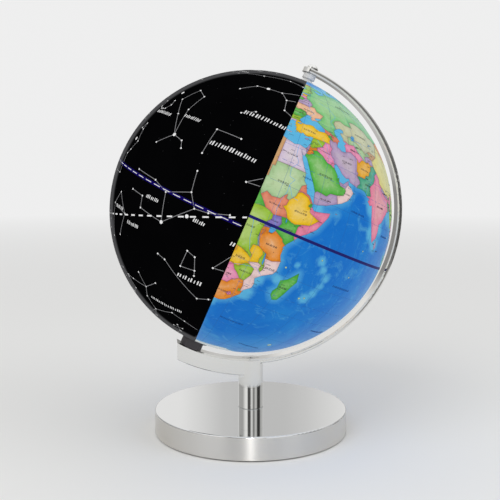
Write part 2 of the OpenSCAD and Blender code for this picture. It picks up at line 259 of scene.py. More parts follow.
def ink(name, colour, glow=0.0):
    """Print ink, a little uneven."""
    def inputs(tree):
        tone = uneven_ink(tree, colour, 0.88)
        return {"Base Color": tone, "Roughness": 0.5, "Specular IOR Level": 0.1,
                "Emission Color": tone, "Emission Strength": glow}
    return new_material(name, inputs)


def turned_away(tree, low, high):
    """0 where the surface faces the viewer, 1 where it turns away at the limb."""
    facing = add(tree, "LayerWeight", {"Blend": 0.5}).outputs["Facing"]
    return spread(tree, facing, low, high)


# Colour of the painted grey sheen at the chart's limb, and the strength of the print's glow.
PAINTED_RIM_SHEEN = (0.07, 0.07, 0.073, 1)
CHART_GLOW = 0.62


def chart_print_with_painted_sheen(tree, tone):
    """Shader inputs of the chart: the print glows faintly, and a painted grey sheen glows towards the limb.
    """
    # Painted sheen: the glow turns to grey where the surface turns away at the limb.
    rim = turned_away(tree, 0.76, 0.81)
    return {"Base Color": mix(tree, 0.7, tone, (0, 0, 0, 1)), "Roughness": 0.55, "Specular IOR Level": 0.0,
            "Emission Color": mix(tree, rim, tone, PAINTED_RIM_SHEEN),
            "Emission Strength": spread(tree, rim, 0, 1, CHART_GLOW, 1.0)}


def chart_black(name):
    def inputs(tree):
        tone = mix(tree, noise(tree, 30, 5), (0.0008, 0.0008, 0.001, 1), (0.0022, 0.0022, 0.0026, 1))
        return chart_print_with_painted_sheen(tree, tone)
    return new_material(name, inputs)


def chart_ink(name, colour):
    """Pale ink of the chart, a little uneven."""
    def inputs(tree):
        return chart_print_with_painted_sheen(tree, uneven_ink(tree, colour, 0.86))
    return new_material(name, inputs)


SEA_DEEP = srgb(14, 120, 216)
SEA_MID = srgb(30, 140, 224)
SEA_RIDGE = srgb(104, 196, 232)
SEA_SHELF = srgb(104, 200, 240)
PALE_LAND = srgb(250, 252, 214)
# The lit map's glow, and the share of its tone that it shows as plain reflection.
GLOW = 0.43
SHADED = 0.42
# Polished metal sees the lit map as an even pale light of this colour and strength.
PALE_SEEN = (0.8, 0.8, 0.78, 1)
PALE_GLOW = 0.9


def glossy_ray(tree):
    """1 for what polished metal sees, else 0."""
    return add(tree, "LightPath").outputs["Is Glossy Ray"]


def lit_print(tree, tone, rough):
    """Shader inputs of a print that the lamp lights from behind: part glow, part reflection."""
    shaded = spread(tree, glossy_ray(tree), 0, 1, 1 - SHADED, 0.85)
    return {"Base Color": mix(tree, shaded, tone, (0, 0, 0, 1)), "Roughness": rough,
            "Specular IOR Level": 0.12, "Emission Color": mix(tree, glossy_ray(tree), tone, PALE_SEEN),
            "Emission Strength": spread(tree, glossy_ray(tree), 0, 1, GLOW, PALE_GLOW)}


def map_print(name):
    """Political map: each country's tint is stronger along its border and paler inside, with
    shaded relief; the sea is pale on the shelves and mottled by the sea bed; towards the limb the
    print pales under a painted sheen."""
    def inputs(tree):
        region = add(tree, "Attribute", attribute_name="tint")
        edge = add(tree, "Attribute", attribute_name="edge").outputs["Fac"]
        shore = add(tree, "Attribute", attribute_name="shore").outputs["Fac"]
        relief = noise(tree, 210, 8, 0.68, distortion=0.6)
        pale = mix(tree, 0.24, region.outputs["Color"], PALE_LAND)
        land = mix(tree, spread(tree, edge, 0.3, 3.4), region.outputs["Color"], pale)
        land = mix(tree, spread(tree, edge, 0.0, 0.7, 0.22, 0), land, (0.25, 0.12, 0.08, 1), "MULTIPLY")
        land = mix(tree, spread(tree, relief, 0.50, 0.72, 0, 0.3), land, (0.30, 0.20, 0.09, 1), "MULTIPLY")
        land = mix(tree, spread(tree, relief, 0.30, 0.46, 0.16, 0), land, (1, 1, 0.94, 1))
        depth = noise(tree, 22, 6, 0.6, distortion=1.0)
        ridge = noise(tree, 60, 9, 0.7, distortion=2.4)
        sea = mix(tree, spread(tree, depth, 0.38, 0.62), SEA_DEEP, SEA_MID)
        sea = mix(tree, spread(tree, ridge, 0.54, 0.74, 0, 0.6), sea, SEA_RIDGE)
        sea = mix(tree, spread(tree, shore, 0.1, 2.4, 0.5, 0), sea, SEA_SHELF)
        shelf = add(tree, "Attribute", attribute_name="shelf").outputs["Fac"]
        ragged = spread(tree, noise(tree, 55, 8, 0.65, distortion=1.2), 0, 1, -0.7, 0.7)
        shelf = add(tree, "Math", {0: shelf, 1: ragged}, operation="ADD").outputs[0]
        sea = mix(tree, spread(tree, shelf, 0.15, 0.75, 0, 0.78), sea, SEA_SHELF)
        tone = mix(tree, region.outputs["Alpha"], sea, land)
        tone = mix(tree, spread(tree, noise(tree, 1600, 2), 0.3, 0.7, 0, 0.06), tone, (0, 0, 0, 1))
        # Painted sheen: towards the limb the print pales to a hazy blue.
        limb = spread(tree, turned_away(tree, 0.5, 0.9), 0, 1, 0, 0.22)
        tone = mix(tree, limb, tone, (0.34, 0.60, 0.74, 1))
        return lit_print(tree, tone, spread(tree, noise(tree, 500, 3), 0, 1, 0.36, 0.48))
    return new_material(name, inputs)


# ---------- the map's lines, as longitude and latitude ----------

# Coasts that run out past the seam.
OPEN_COASTS = [
    # Levant and Aegean
    "21 32.9, 23.1 32.4, 24 32, 25.2 31.6, 27.2 31.3, 29 30.9, 30 31.3, 31 31.6, 32.3 31.3, 33.8 31.1,"
    "34.4 31.5, 35 32.8, 35.5 33.9, 35.8 35.5, 36.1 36.7, 34.6 36.7, 33.7 36.2, 32.5 36.1, 31.2 36.8,"
    "30.6 36.9, 30.4 36.3, 29.2 36.3, 28.2 36.7, 27.3 37, 27.2 38.4, 26.4 38.3, 26.8 39.3, 26.1 39.5,"
    "26.2 40.1, 26.1 40.7, 24.4 40.9, 23.7 40.3, 22.8 40.5, 23.1 39.2, 24 38.2, 23.6 37.5, 22.6 37.4,"
    "22.9 36.5, 21 36.6",
    # Southern and eastern Africa, the Red Sea, Arabia and the Gulf
    # Iran to the Bay of Bengal
    # South-east Asia and China
    # Korea, the Sea of Okhotsk and Kamchatka
    # The Arctic coast, back to the White Sea and the North Cape
    "21 -34.3, 23.5 -34, 25.7 -34, 28 -33, 30 -31.2, 31.1 -29.8, 32.5 -28.4, 32.9 -26.2, 35.4 -24,"
    "35.5 -22, 34.7 -19.9, 36.9 -17.9, 40 -16, 40.8 -14.5, 40.5 -10.5, 39.4 -8.5, 39.3 -6.8,"
    "38.9 -5.5, 39.7 -4, 41.6 -1.7, 43 0.3, 45.3 2, 48 4.6, 49.8 8, 51 10.4, 51.2 11.9, 49 11.3,"
    "46.5 10.7, 44.5 10.4, 43.2 11.5, 43.2 12.5, 41.2 14.7, 39.7 15.2, 38.6 18, 37.3 19.2, 37.2 21,"
    "36.9 22, 35.6 23.9, 34 26.5, 33.6 27.8, 32.5 29.9, 33.1 28.6, 34.2 27.8, 34.9 29.4, 34.6 28.1,"
    "35.6 27.5, 37.2 25, 39 22, 40.8 19.6, 42.5 16.8, 42.8 14.8, 43.4 12.7, 45 12.8, 48.7 14, 52 15.6,"
    "55 17, 57.8 19, 58.7 20.5, 59.8 22.5, 58.5 23.7, 56.6 24.5, 56.4 26.2, 55 25.1, 54 24.1,"
    "51.6 24.3, 51.5 25.9, 50.8 25.2, 50.2 26.6, 48.6 28.3, 48 29.5, 48.9 30.4, 50.8 29.2, 52.5 27.6,"
    "54.8 26.6, 56.5 27.1, 57.2 25.8, 61.6 25.1, 64.5 25.3, 66.6 25, 68.2 23.7, 70.3 22.9, 69 22.2,"
    "70.8 20.8, 72.3 21.3, 72.8 19, 73.5 16, 74.8 12.9, 76.3 9.9, 77.5 8.1, 78.2 8.9, 79.8 10.3,"
    "80.3 13, 80.2 15.6, 82.3 16.7, 85 19.5, 87 20.8, 87.2 21.6, 89 21.7, 90.5 22.5, 91.8 22.4,"
    "92.3 20.7, 94.3 18, 94.4 16, 95.5 15.8, 96.5 17, 97.6 16.2, 97.8 14.7, 98.6 12.2, 98.5 10,"
    "98.3 8, 100.3 6.2, 101.3 3, 103.6 1.4, 104.2 1.5, 103.4 4, 102.3 6.2, 100.6 7.1, 99.9 9.3,"
    "99.3 11, 100 13.3, 101 13.4, 102.5 12, 103.6 10.6, 104.8 8.7, 106.7 10.4, 109.2 11.6, 109.3 13.5,"
    "108.3 16.1, 106.7 17.8, 105.7 19, 106.7 20.7, 108.2 21.6, 109.8 21.4, 110.1 20.4, 111.5 21.6,"
    "114 22.4, 116.7 23.3, 118.2 24.5, 119.7 26, 121.5 28.3, 122 30, 121.9 31.5, 120.3 34, 119.2 35,"
    "120.4 36.2, 122.6 37.2, 120.8 37.8, 119 37.4, 117.7 39, 119.5 39.8, 121 40.9, 121.5 39,"
    "124.3 39.9, 125 38, 126.6 37, 126.4 34.6, 129 35.2, 129.4 37, 127.5 39.5, 129.7 41.4, 130.7 42.3,"
    "132 43.1, 135.3 44.5, 138.5 47, 140.4 50, 141.3 53.2, 137.5 54, 135.3 54.8, 138 56.5, 142.5 59.2,"
    "149 59.6, 155 59.4, 159.5 61.5, 163.3 62.5, 161 60.3, 157 57.8, 155.6 54.5, 156.7 51, 158.6 53,"
    "160 54.8, 162.9 56.1, 163.2 58, 166 60, 170.3 60, 174 61.8, 179.3 62.6, 177.5 64.7, 181 65.2,"
    "187 64.3, 190.2 66.1, 184 67.4, 180 69, 170.5 69.8, 161 69.5, 152 71, 140 72.5, 129 71.2,"
    "127 73.4, 118 73.2, 113 73.8, 110 74.2, 112 76.5, 104.3 77.7, 98 76.2, 87 75, 80.6 73.5, 83 71,"
    "79 72.4, 75 72.6, 73.6 68.5, 72 71.5, 70 73, 67 70.5, 68.5 68.4, 60.5 69.7, 54 68.3, 48.5 67.7,"
    "45 68.5, 43.4 68.4, 44 66.2, 40.5 64.7, 37.5 63.9, 34.8 64.8, 32.5 67, 37 66.4, 41 66.6,"
    "40.5 67.8, 33.5 69.3, 30 70.4, 25.8 71.1, 21 70.2",
    # Baltic: Gulf of Bothnia, and from Finland round to the Gulf of Riga
    "21 65.4, 24.5 65.8, 25.4 65, 22.9 63.7, 21 63",
    "21 59.8, 23 59.9, 25 60.2, 27.8 60.5, 30.2 59.9, 28 59.6, 25 59.5, 23.4 59.1, 24.4 58.3,"
    "24.3 57.3, 23.2 57, 21 57.5",
    # Antarctica and western Alaska
    "21 -70, 35 -69.3, 45 -67.6, 55 -66, 60 -67.4, 70 -68.4, 74 -70, 79 -69, 88 -66.7, 100 -66,"
    "110 -66, 122 -66.8, 135 -66.1, 145 -67.2, 155 -69, 163 -70.5, 170.5 -71.5, 164 -75, 166 -77.8,"
    "185 -78.5, 198 -77.8, 208 -77",
    "208 70.9, 203.5 71.3, 199 70, 193.5 68.4, 197 66.8, 192 65.6, 199 64.5, 195.5 63, 195 61.2,"
    "198 59.3, 202.5 58.7, 200 56, 196 54.7, 202 56.2, 208 58.5",
]

# Islands and inland seas; each line closes on its first point.
CLOSED_COASTS = [
    "29 41.2, 31.4 41.3, 33.3 42, 35.1 42, 36.3 41.3, 38.4 40.9, 41.5 41.5, 41.4 42.6, 39.7 43.6,"
    "37.4 44.7, 36.6 45.1, 35.4 45, 33.8 44.4, 32.6 45.4, 33.4 46, 31.8 46.5, 30.7 46.5, 29.7 45.2,"
    "28.6 43.9, 27.7 42.6, 28.1 41.7",
    "35.3 45.6, 36.8 45.4, 38 46.4, 39 47.1, 37.4 47, 35.3 46.4",
    "27 40.4, 28.2 40.4, 29.4 40.7, 28.8 41, 27.5 40.9",
    # Caspian, Aral, Balkhash, Baikal
    "49 37.6, 50.2 37.4, 51.5 36.7, 53.9 37, 53.8 39, 53.1 40, 54.4 41, 52.5 41.8, 52.5 42.8,"
    "50.9 44.3, 51.3 45.3, 53 45.4, 53 46.8, 51 47, 49 46.2, 47.5 45.3, 46.9 44.5, 47.5 43, 49 41.5,"
    "50.3 40.4, 49.4 40.1, 48.9 38.5",
    "58.4 45.6, 60 46.6, 61.4 46.2, 60.4 44.2, 58.6 43.9", "73.6 45.5, 75.5 46.7, 79 46.7, 75.5 46.2",
    "104 51.6, 106 52.9, 109.6 55.6, 109.6 54, 107 52.2",
    # Lakes Victoria, Tanganyika, Malawi and Turkana
    "31.8 -0.8, 33 0.3, 34.2 0, 34 -1.2, 33.2 -2.4, 31.9 -2.4",
    "29.2 -3.4, 29.8 -5.8, 31.1 -8.6, 30.3 -8, 29.2 -5.8",
    "34 -9.6, 34.9 -11.6, 35 -14.2, 34.4 -13.6, 34.2 -11.2", "36 4.5, 36.5 3.4, 36.3 2.5, 35.9 3.6",
    # Madagascar, Sri Lanka, Crete, Cyprus, Socotra
    "49.3 -12, 50.4 -15.6, 49.4 -18, 48.3 -22, 47.2 -24.9, 45.3 -25.5, 43.6 -23.6, 43.4 -22, 44.4 -20,"
    "44 -17, 46.3 -15.7, 48 -13.6",
    "80 9.7, 81.2 8.5, 81.8 7, 80.6 5.9, 79.8 7.2", "23.6 35.6, 26.3 35.3, 26 35, 23.6 35.2",
    "32.3 35, 34.5 35.7, 34 35, 32.7 34.6", "53.3 12.7, 54.5 12.6, 53.6 12.3",
    # Sumatra, Java, Borneo, Sulawesi, Timor
    "95.3 5.6, 97.5 5.2, 100.3 2.6, 103.4 -0.8, 106 -3, 105.8 -5.8, 104.3 -5.6, 101.5 -3, 98.7 1.7",
    "105.3 -6.7, 108.5 -6.6, 111.5 -6.5, 114.4 -7.7, 114.3 -8.7, 110 -8.1, 106.5 -7.4",
    "109 1.5, 111.3 2.5, 113.2 3.3, 115.5 5.5, 117 7, 119.2 5.2, 117.8 3.5, 118.9 1, 117.5 0.3,"
    "116.5 -2.5, 114.7 -4.1, 111.8 -3.4, 110.2 -2.5, 109 0",
    "119.5 -5.5, 119 -3, 119.8 0.3, 120.9 1.3, 125 1.5, 123.8 0.4, 120.4 0.3, 121.5 -1, 123.3 -0.9,"
    "121.8 -2, 122.9 -4.5, 121.4 -4.3, 120.9 -2.8, 120.4 -5.5",
    "123.6 -10.3, 125 -9, 127 -8.4, 125 -9.6",
    # Philippines, Taiwan, Hainan
    "120.6 18.5, 122.2 18.4, 121.6 16, 124 13, 121 13.7, 120 15.5",
    "122 7, 124 6, 125.5 6, 126.5 8, 125.4 9.7, 123.5 8.6",
    "117.2 8.4, 119.4 11.2, 119.2 10.4, 117.6 8.4", "122 11.8, 123 11.6, 124.8 12.5, 125 10.2, 123 9.2",
    "121.5 25.2, 121.9 24.8, 120.9 22, 120.1 23", "108.7 19.2, 110.5 20, 111 19.6, 109.7 18.2",
    # Japan and Sakhalin
    "130 33.7, 131.7 33.6, 131.4 31.5, 130.2 31.2", "132.5 33.9, 134.6 34.2, 133.2 32.8",
    "131 34.2, 133 35.5, 136 35.7, 137 37.3, 138.8 37.7, 140 39.8, 140.5 41.2, 141.5 41.4, 142 39.5,"
    "141 38.2, 140.8 35.7, 138.5 34.7, 136.8 34.3, 135.8 33.5, 135 34.6, 132.3 34.2",
    "140.2 41.5, 141.7 45.4, 145.3 43.3, 143.2 42",
    "142 46, 142 49, 142.6 54.3, 143.3 52.7, 144.6 49, 142.9 48.5, 143.5 46.8",
    # New Guinea, New Britain, Australia, Tasmania, New Zealand
    "131 -0.8, 134 -0.8, 135 -3.3, 138 -1.7, 141 -2.6, 145 -4.5, 147.8 -6, 147 -7, 150.8 -10.3,"
    "147 -9.5, 144 -7.7, 142.5 -9.2, 138 -8.3, 137.8 -5.3, 133 -4, 132 -2.8",
    "148.4 -5.7, 152 -4.2, 150.2 -6.3",
    "113.9 -22, 113.5 -26.3, 115.7 -31.7, 115 -34.2, 118 -35, 120 -33.9, 123.9 -33.9, 126 -32.3,"
    "131 -31.5, 134.2 -32.8, 135.9 -34.9, 137.8 -32.6, 137.2 -35.2, 138.4 -34.6, 140 -37.6,"
    "143.5 -38.8, 146.4 -39.1, 150 -37.4, 151.3 -33.8, 153.2 -30, 153.4 -27.5, 153 -25, 150.8 -23.3,"
    "149 -20.5, 146.2 -18.9, 145.4 -15, 143.8 -14.4, 142.5 -10.8, 141.6 -13, 140.9 -17.5, 139.2 -17.3,"
    "135.5 -15, 136.8 -12.2, 132.6 -11.5, 130.7 -12.5, 129.3 -15, 126.8 -14, 124 -16.4, 122.2 -18,"
    "119 -20, 116.7 -20.7",
    "144.7 -40.8, 148.3 -40.9, 148 -42.9, 146.5 -43.6, 145.3 -42.3",
    "172.7 -34.5, 175.5 -36.6, 178.5 -37.7, 177 -39.4, 175.3 -41.6, 173.8 -39.3, 174.6 -37.5",
    "172.7 -40.6, 174.3 -41.7, 173 -43.7, 171 -45.3, 169 -46.6, 166.5 -45.9, 168.4 -44, 171 -42.3",
    # Arctic islands
    "51.5 71.5, 55 73.3, 60 76, 68.5 76.8, 61 75, 57.5 70.7", "93 79.5, 97 81, 105 79, 100 78",
    "21 80.2, 27 80.2, 25 79, 21 78", "137.5 75.8, 143 75.8, 150 75.2, 143 73.4, 138 74",
    "179 71.5, 182.5 71.4, 180 70.9",
]

# Small islands: longitude, latitude and half width in degrees.
ISLETS = [
    (55.5, -21.1, 0.45), (57.6, -20.3, 0.4), (43.4, -11.8, 0.4), (55.5, -4.6, 0.35), (73.5, 4, 0.35),
    (72.4, -7, 0.35), (92.8, 12.4, 0.4), (69.4, -49.3, 0.9), (96.8, -12.1, 0.3), (115.2, -8.4, 0.6),
    (117.8, -8.7, 0.8), (121, -8.7, 0.8), (128, 1, 0.8), (129.3, -3.2, 0.9), (160, -9.5, 0.8),
    (155.2, -6.3, 0.7), (165.5, -21.3, 0.8), (167, -15.5, 0.6), (178, -17.8, 0.7), (188, -13.8, 0.45),
    (144.8, 13.4, 0.35), (134.5, 7.5, 0.3), (158.2, 6.9, 0.3), (200.4, 22, 0.4), (202, 21.4, 0.45),
    (39.3, -6.1, 0.3), (128, 26.5, 0.4), (147.5, 44.7, 0.5), (151.5, 46.8, 0.4), (173, 53, 0.4),
    (185, 52, 0.4), (192.5, 54, 0.5), (189.5, 63.5, 0.8), (54.5, 80.6, 1.3), (28, 36.3, 0.35),
    (24.5, 38.5, 0.25), (50.6, 26.1, 0.2),
]

BORDERS = [
    # North-east Africa
    "25.1 32.3, 25 29.2, 25 20", "25 22, 37.6 22", "25 20, 24 20, 24 15.7, 21 15",
    "21 11.4, 23.6 10, 24.2 8.7",
    "24.2 8.7, 25.8 10.4, 28 9.4, 31 9.8, 32.4 11.7, 33.2 12.2, 33.2 10.7, 34.3 10.5",
    "34.3 10.5, 36.1 12.7, 36.5 14.3, 37 17, 39 18.2",
    "36.5 14.3, 37.9 14.9, 39.1 14.6, 40.9 14.1, 42.4 12.5, 41.8 11.2, 42.9 10.9",
    "42.4 12.5, 43.7 12.4", "42.9 10.9, 43.7 11.7",
    "42.9 10.9, 43.2 9.4, 44 9, 47 8, 48 8, 45 5, 42 4.2, 39.5 3.4, 38 3.6, 36 4.4",
    "42 4.2, 41 3, 41 -0.8, 42 -2.2", "34.3 10.5, 34 8.5, 33 7.8, 34.7 6.6, 35.9 4.7, 36 4.4, 34 4.2",
    "34 4.2, 31 3.7, 29.5 4.5, 27.5 5, 26.5 6.2, 24.2 8.7", "27.5 5, 25 5, 21 4.1",
    # East and central Africa
    "34 4.2, 35 1.8, 34.6 1, 33.9 0.1, 33.6 -1, 37.6 -3, 37.8 -3.7, 39.8 -5",
    "31 3.7, 31.2 2.2, 29.9 0.6, 29.6 -1.3, 29.2 -2.7, 29.3 -4.4", "29.6 -1.3, 30.5 -1.1, 33.6 -1",
    "30.5 -1.1, 30.8 -2.4, 30.5 -3.5, 29.4 -4.5", "29.2 -2.7, 30.6 -2.4",
    "29.3 -4.4, 29.6 -6, 30.8 -8.3", "30.8 -8.3, 32.9 -9.4, 34.5 -10, 34.7 -11.6, 37.5 -11.7, 41 -10.4",
    "30.8 -8.3, 28.7 -8.6, 28.4 -11, 29.8 -12.2, 29.8 -13.4, 28.4 -12.5, 27 -11.8, 25.3 -11.2, 24 -11,"
    "21 -11",
    "24 -11, 24 -13, 21 -13", "21 -17.8, 23.4 -17.6, 25.2 -17.8", "21 -18.2, 23.6 -18.4, 25.2 -17.8",
    "25.2 -17.8, 27 -17.9, 28.8 -16, 30.4 -15.6, 30.2 -14.9, 33.2 -14, 32.9 -12.5, 33.5 -10.6,"
    "32.9 -9.4",
    "33.2 -14, 34.5 -14.5, 34.4 -16.2, 35.2 -17.1, 35.8 -16, 35.8 -14.6, 34.7 -11.6",
    "30.4 -15.6, 32.9 -16.8, 32.8 -19.5, 31.3 -22.4, 32 -24.5, 32 -26.8, 33.4 -26.9",
    "25.2 -17.8, 26.2 -19.5, 27.7 -20.5, 29.4 -22.2, 31.3 -22.4",
    "29.4 -22.2, 27 -23.7, 25.7 -25.5, 22.8 -25.5, 21 -26.8",
    "31 -26, 32 -26.2, 31.9 -27.2, 31 -27.2, 31 -26",
    "27 -29.6, 28.7 -28.7, 29.4 -29.6, 28.2 -30.6, 27 -29.6",
    # Levant, Arabia, the Caucasus and Iran
    "34.1 31.6, 34.9 29.2", "34.9 29.2, 35.5 31.5, 35.6 32.7, 35.7 33.3, 34.8 33.1",
    "35.7 33.3, 36.5 34.2, 35.6 34.7", "35.6 32.7, 36.8 32.3, 38.8 33.4, 41.2 34.6, 42.4 37.2",
    "35.6 35.9, 36.6 36.8, 38 36.8, 42.4 37.2, 44.8 37.2, 44.4 38.5, 44.8 39.7, 43.6 40.2, 43.5 41.1,"
    "41.2 41.5",
    "38.8 33.4, 39.2 32.1, 37 31.5, 38 30.5, 36 29.2, 34.7 29.3",
    "39.2 32.1, 42 31.1, 44.7 29.2, 46.5 29.1, 47.7 28.5, 48.9 28.5", "46.5 29.1, 47 30, 48.3 30",
    "44.8 37.2, 46.2 35.8, 45.5 34, 46 33, 47.7 31.8, 48 30.4, 48.8 29.7",
    "42.3 16.4, 43.3 17.4, 45.5 17.3, 47.5 17.1, 49 18.6, 52 19, 55 20, 55.7 22, 55.2 22.7, 52.6 22.9,"
    "51.5 24.5",
    "55.2 22.7, 56 24.1, 56.8 24.9", "52 19, 53.2 16", "50.6 24.7, 51.6 24.5",
    "39.6 43.5, 43 42.8, 45 42.6, 46.5 41.8, 48.9 41.7", "43.5 41.1, 45 41.2, 46.5 41.8",
    "45 41.2, 46.5 39, 44.8 39.7", "46.5 39, 48 39.5, 49.1 38.4",
    "53.7 37.3, 57.2 38.2, 61.2 36.6, 61 34, 60.8 31.5, 61.8 30.8, 60.9 29.8, 62.8 28.2, 63.2 27.2,"
    "61.6 25.9, 61.6 24.9",
    # Central and south Asia
    "60.9 29.8, 66.3 29.9, 67 31.3, 69.3 31.9, 70 33.5, 71.2 34.4, 71.6 36.4, 74.5 37, 77 35",
    "61.2 36.6, 62.5 35.3, 64.8 37.2, 66.5 37.4, 68 37, 70.2 37.8, 71.4 37, 74.5 37",
    "68 23.8, 71 24.4, 70 27.8, 73.2 30, 74.5 32, 74.5 33.5, 77 35",
    "66.5 37.4, 62 40, 60 42, 56 41.3, 54 42, 52.3 41.8",
    "56 41.3, 56 45, 58.6 45.6, 61 44.3, 66 42.5, 68.5 40.8, 71 42.2, 73.5 43, 80.2 42.2",
    "71 42.2, 73 40.8, 70.5 40.2", "68 37, 67.5 39.3, 70.5 40.2, 73.8 39.4, 74.5 37",
    "80.2 42.2, 76.5 40.4, 73.8 39.4",
    "48.4 45.6, 47 48.2, 48 50, 52 51.5, 55.5 50.6, 61.5 50.8, 61 53.8, 65 54.5, 71 54.2, 73.5 53.6,"
    "77 53.3, 80 50.9, 83 51, 87.3 49.1, 85.5 47.1, 82.5 45.2, 80.2 42.2",
    "77 35, 79 32.7, 78.8 31.3, 81 30.2, 86 28, 88.8 28, 89 27.3, 91.7 27.8, 95 29.2, 97.3 28.3",
    "81 30.2, 80.2 28.8, 84 27.4, 88.1 26.4, 88.2 28.4", "89 27.3, 89.5 26.8, 92 26.8, 91.7 27.8",
    "89 21.3, 88.8 24.3, 88.1 25, 89 26.2, 89.8 25.3, 92.2 25, 91.4 24, 91.4 23, 92.3 22, 92.1 20.6",
    # South-east Asia, China and Mongolia
    "92.3 22, 93.3 24, 95 26.5, 97.3 28.3, 98.6 27.5, 97.6 24, 99 22.1, 101.2 21.5, 102.1 22.4,"
    "105.3 23.3, 108.3 21.3",
    "101.2 21.5, 100.1 20.4, 97.8 18.5, 98.6 16, 98.3 15, 99.2 12, 98.4 9.9",
    "100.1 20.4, 101.2 19.5, 101 17.6, 104 18.3, 104.8 16.5, 105.5 14.4, 102.6 13.7, 102.9 11.4",
    "102.1 22.4, 103.9 20, 105.2 18.7, 107.6 14.5, 105.5 14.4",
    "107.6 14.5, 107.5 12.4, 106 11.4, 103.6 10", "99.8 6.5, 102.9 6.2",
    "87.3 49.1, 91 45.2, 96.4 42.7, 105 41.6, 111.8 43.6, 116 46.5, 119.8 46.8, 116.7 49.8",
    "87.3 49.1, 92 50.8, 98 50.5, 98.5 52, 102.3 50.7, 107 49.8, 113 49.6, 116.7 49.8, 119.5 50.5,"
    "121 53.3, 125.5 53, 127.5 50, 130.8 48.8, 134.8 48.3, 133.2 45, 131.2 43.5, 130.7 42.1",
    "130.7 42.3, 129.7 42.4, 126.5 41.5, 124.1 39.7", "125.6 37.5, 128.8 38.7",
    # Eastern Europe
    "30.8 70.4, 28.5 68.5, 30 67.6, 29.5 64.5, 31.5 62.8, 27.6 60.3", "30 69.4, 26 69.8, 21 68.8",
    "28 59.8, 27.4 57.6, 28.2 56.2, 31 55, 32.5 53.5, 31.7 52.1, 34.2 52.2, 35.5 50.4, 40 49.6,"
    "38.2 46.9",
    "24 57.9, 27.4 57.6", "21 56.3, 24.5 56.4, 26.6 55.7, 28.2 56.2",
    "26.6 55.7, 25.5 54.2, 23.5 53.9, 21 54.3", "21 51.7, 27.5 51.5, 30.6 51.3, 31.7 52.1",
    "21 48.4, 24.9 47.7, 26.6 48.3, 29.2 47.8, 30.8 46", "26.6 48.3, 28.2 46.5, 28.2 45.5, 29.9 45.3",
    "21 44.2, 25 43.7, 27 44.1, 28.9 43.7", "21 41.3, 26.3 41.7, 26.1 40.5", "26.3 41.7, 28.3 42",
    "36.6 45, 36.8 45.5",
    # Borneo, New Guinea and the Australian states
    "109.2 1.8, 110.5 1, 114 1.4, 115.1 3, 118.8 4.2", "141 -2.3, 141 -9.4", "129 -14.5, 129 -32",
    "138 -16, 138 -26, 141 -26, 141 -38.2", "128.8 -26, 138 -26", "140.8 -29, 148.9 -28.9, 153.9 -28.2",
    "140.8 -34, 144 -35.9, 148 -36, 150.3 -37.6",
]

RIVERS = [
    "31 31.4, 31 30, 31.2 27, 32.8 25, 32.9 24, 31 21.6, 31.5 18.5, 33.8 18, 32.5 15.6, 32.6 13,"
    "31.6 9.5, 31.4 6, 32 3, 33.2 0.4",
    "32.5 15.6, 35 11.8, 37.3 11.6", "48.4 30.5, 46.5 32.3, 44.4 33.3, 43 36.4, 40.5 38",
    "46.5 31.2, 44 32.3, 41 34.5, 38.3 36.6", "67.5 24, 68.5 27.5, 71 30, 74 34.5, 79 32.5",
    "88.5 21.8, 88 24.6, 83 25.5, 78.2 29.5", "47.8 45.9, 45 48.5, 49 52.5, 44 56.4, 37 57",
    "68.5 67, 66 63, 69 61, 75 58, 83 54", "82.5 70.5, 87 66, 91 60, 92.5 56",
    "127 72.5, 124 66, 129.5 62, 118 59.5, 106 54",
    "121.5 31.4, 116 30, 111 30.5, 106.5 29.5, 102 26, 97.5 32",
    "118.8 37.6, 114 35, 110.4 36, 110.6 40.2, 106.5 38.5, 103.6 36, 97 34.5",
    "106 10, 105 13, 105 17, 101 20, 98.5 27", "36.6 -18.2, 33.4 -16, 28.5 -16.8, 25.4 -17.7",
    "24.2 0.5, 25.6 -1, 26.8 -7, 28.5 -11", "60.5 44.5, 65.5 44.8, 70 41",
    "59.8 43.4, 62 40.5, 67.5 37.4", "140.5 53, 137 50, 131 48, 124 53", "38.9 -34, 38.9 -34",
    "139.3 -35.4, 141.5 -34.2, 146.5 -36", "32.2 46.6, 34.5 48.4, 31 50.4, 30.5 53.5",
]

GREEN, LEAF, TEAL, SAGE = srgb(84, 188, 66), srgb(158, 204, 48), srgb(72, 176, 142), srgb(176, 212, 158)
YELLOW, GOLD, STRAW = srgb(250, 202, 8), srgb(244, 178, 34), srgb(238, 226, 128)
ORANGE, SALMON = srgb(245, 146, 34), srgb(238, 140, 110)
PEACH, TAN = srgb(248, 194, 156), srgb(216, 166, 112)
PINK, ROSE, BLUSH = srgb(246, 146, 190), srgb(246, 134, 172), srgb(248, 216, 216)
LILAC, VIOLET = srgb(188, 162, 204), srgb(136, 122, 204)
PALE_LILAC, STONE = srgb(222, 204, 228), srgb(206, 208, 168)
MEADOW = srgb(124, 206, 124)
ICE = srgb(238, 242, 246)

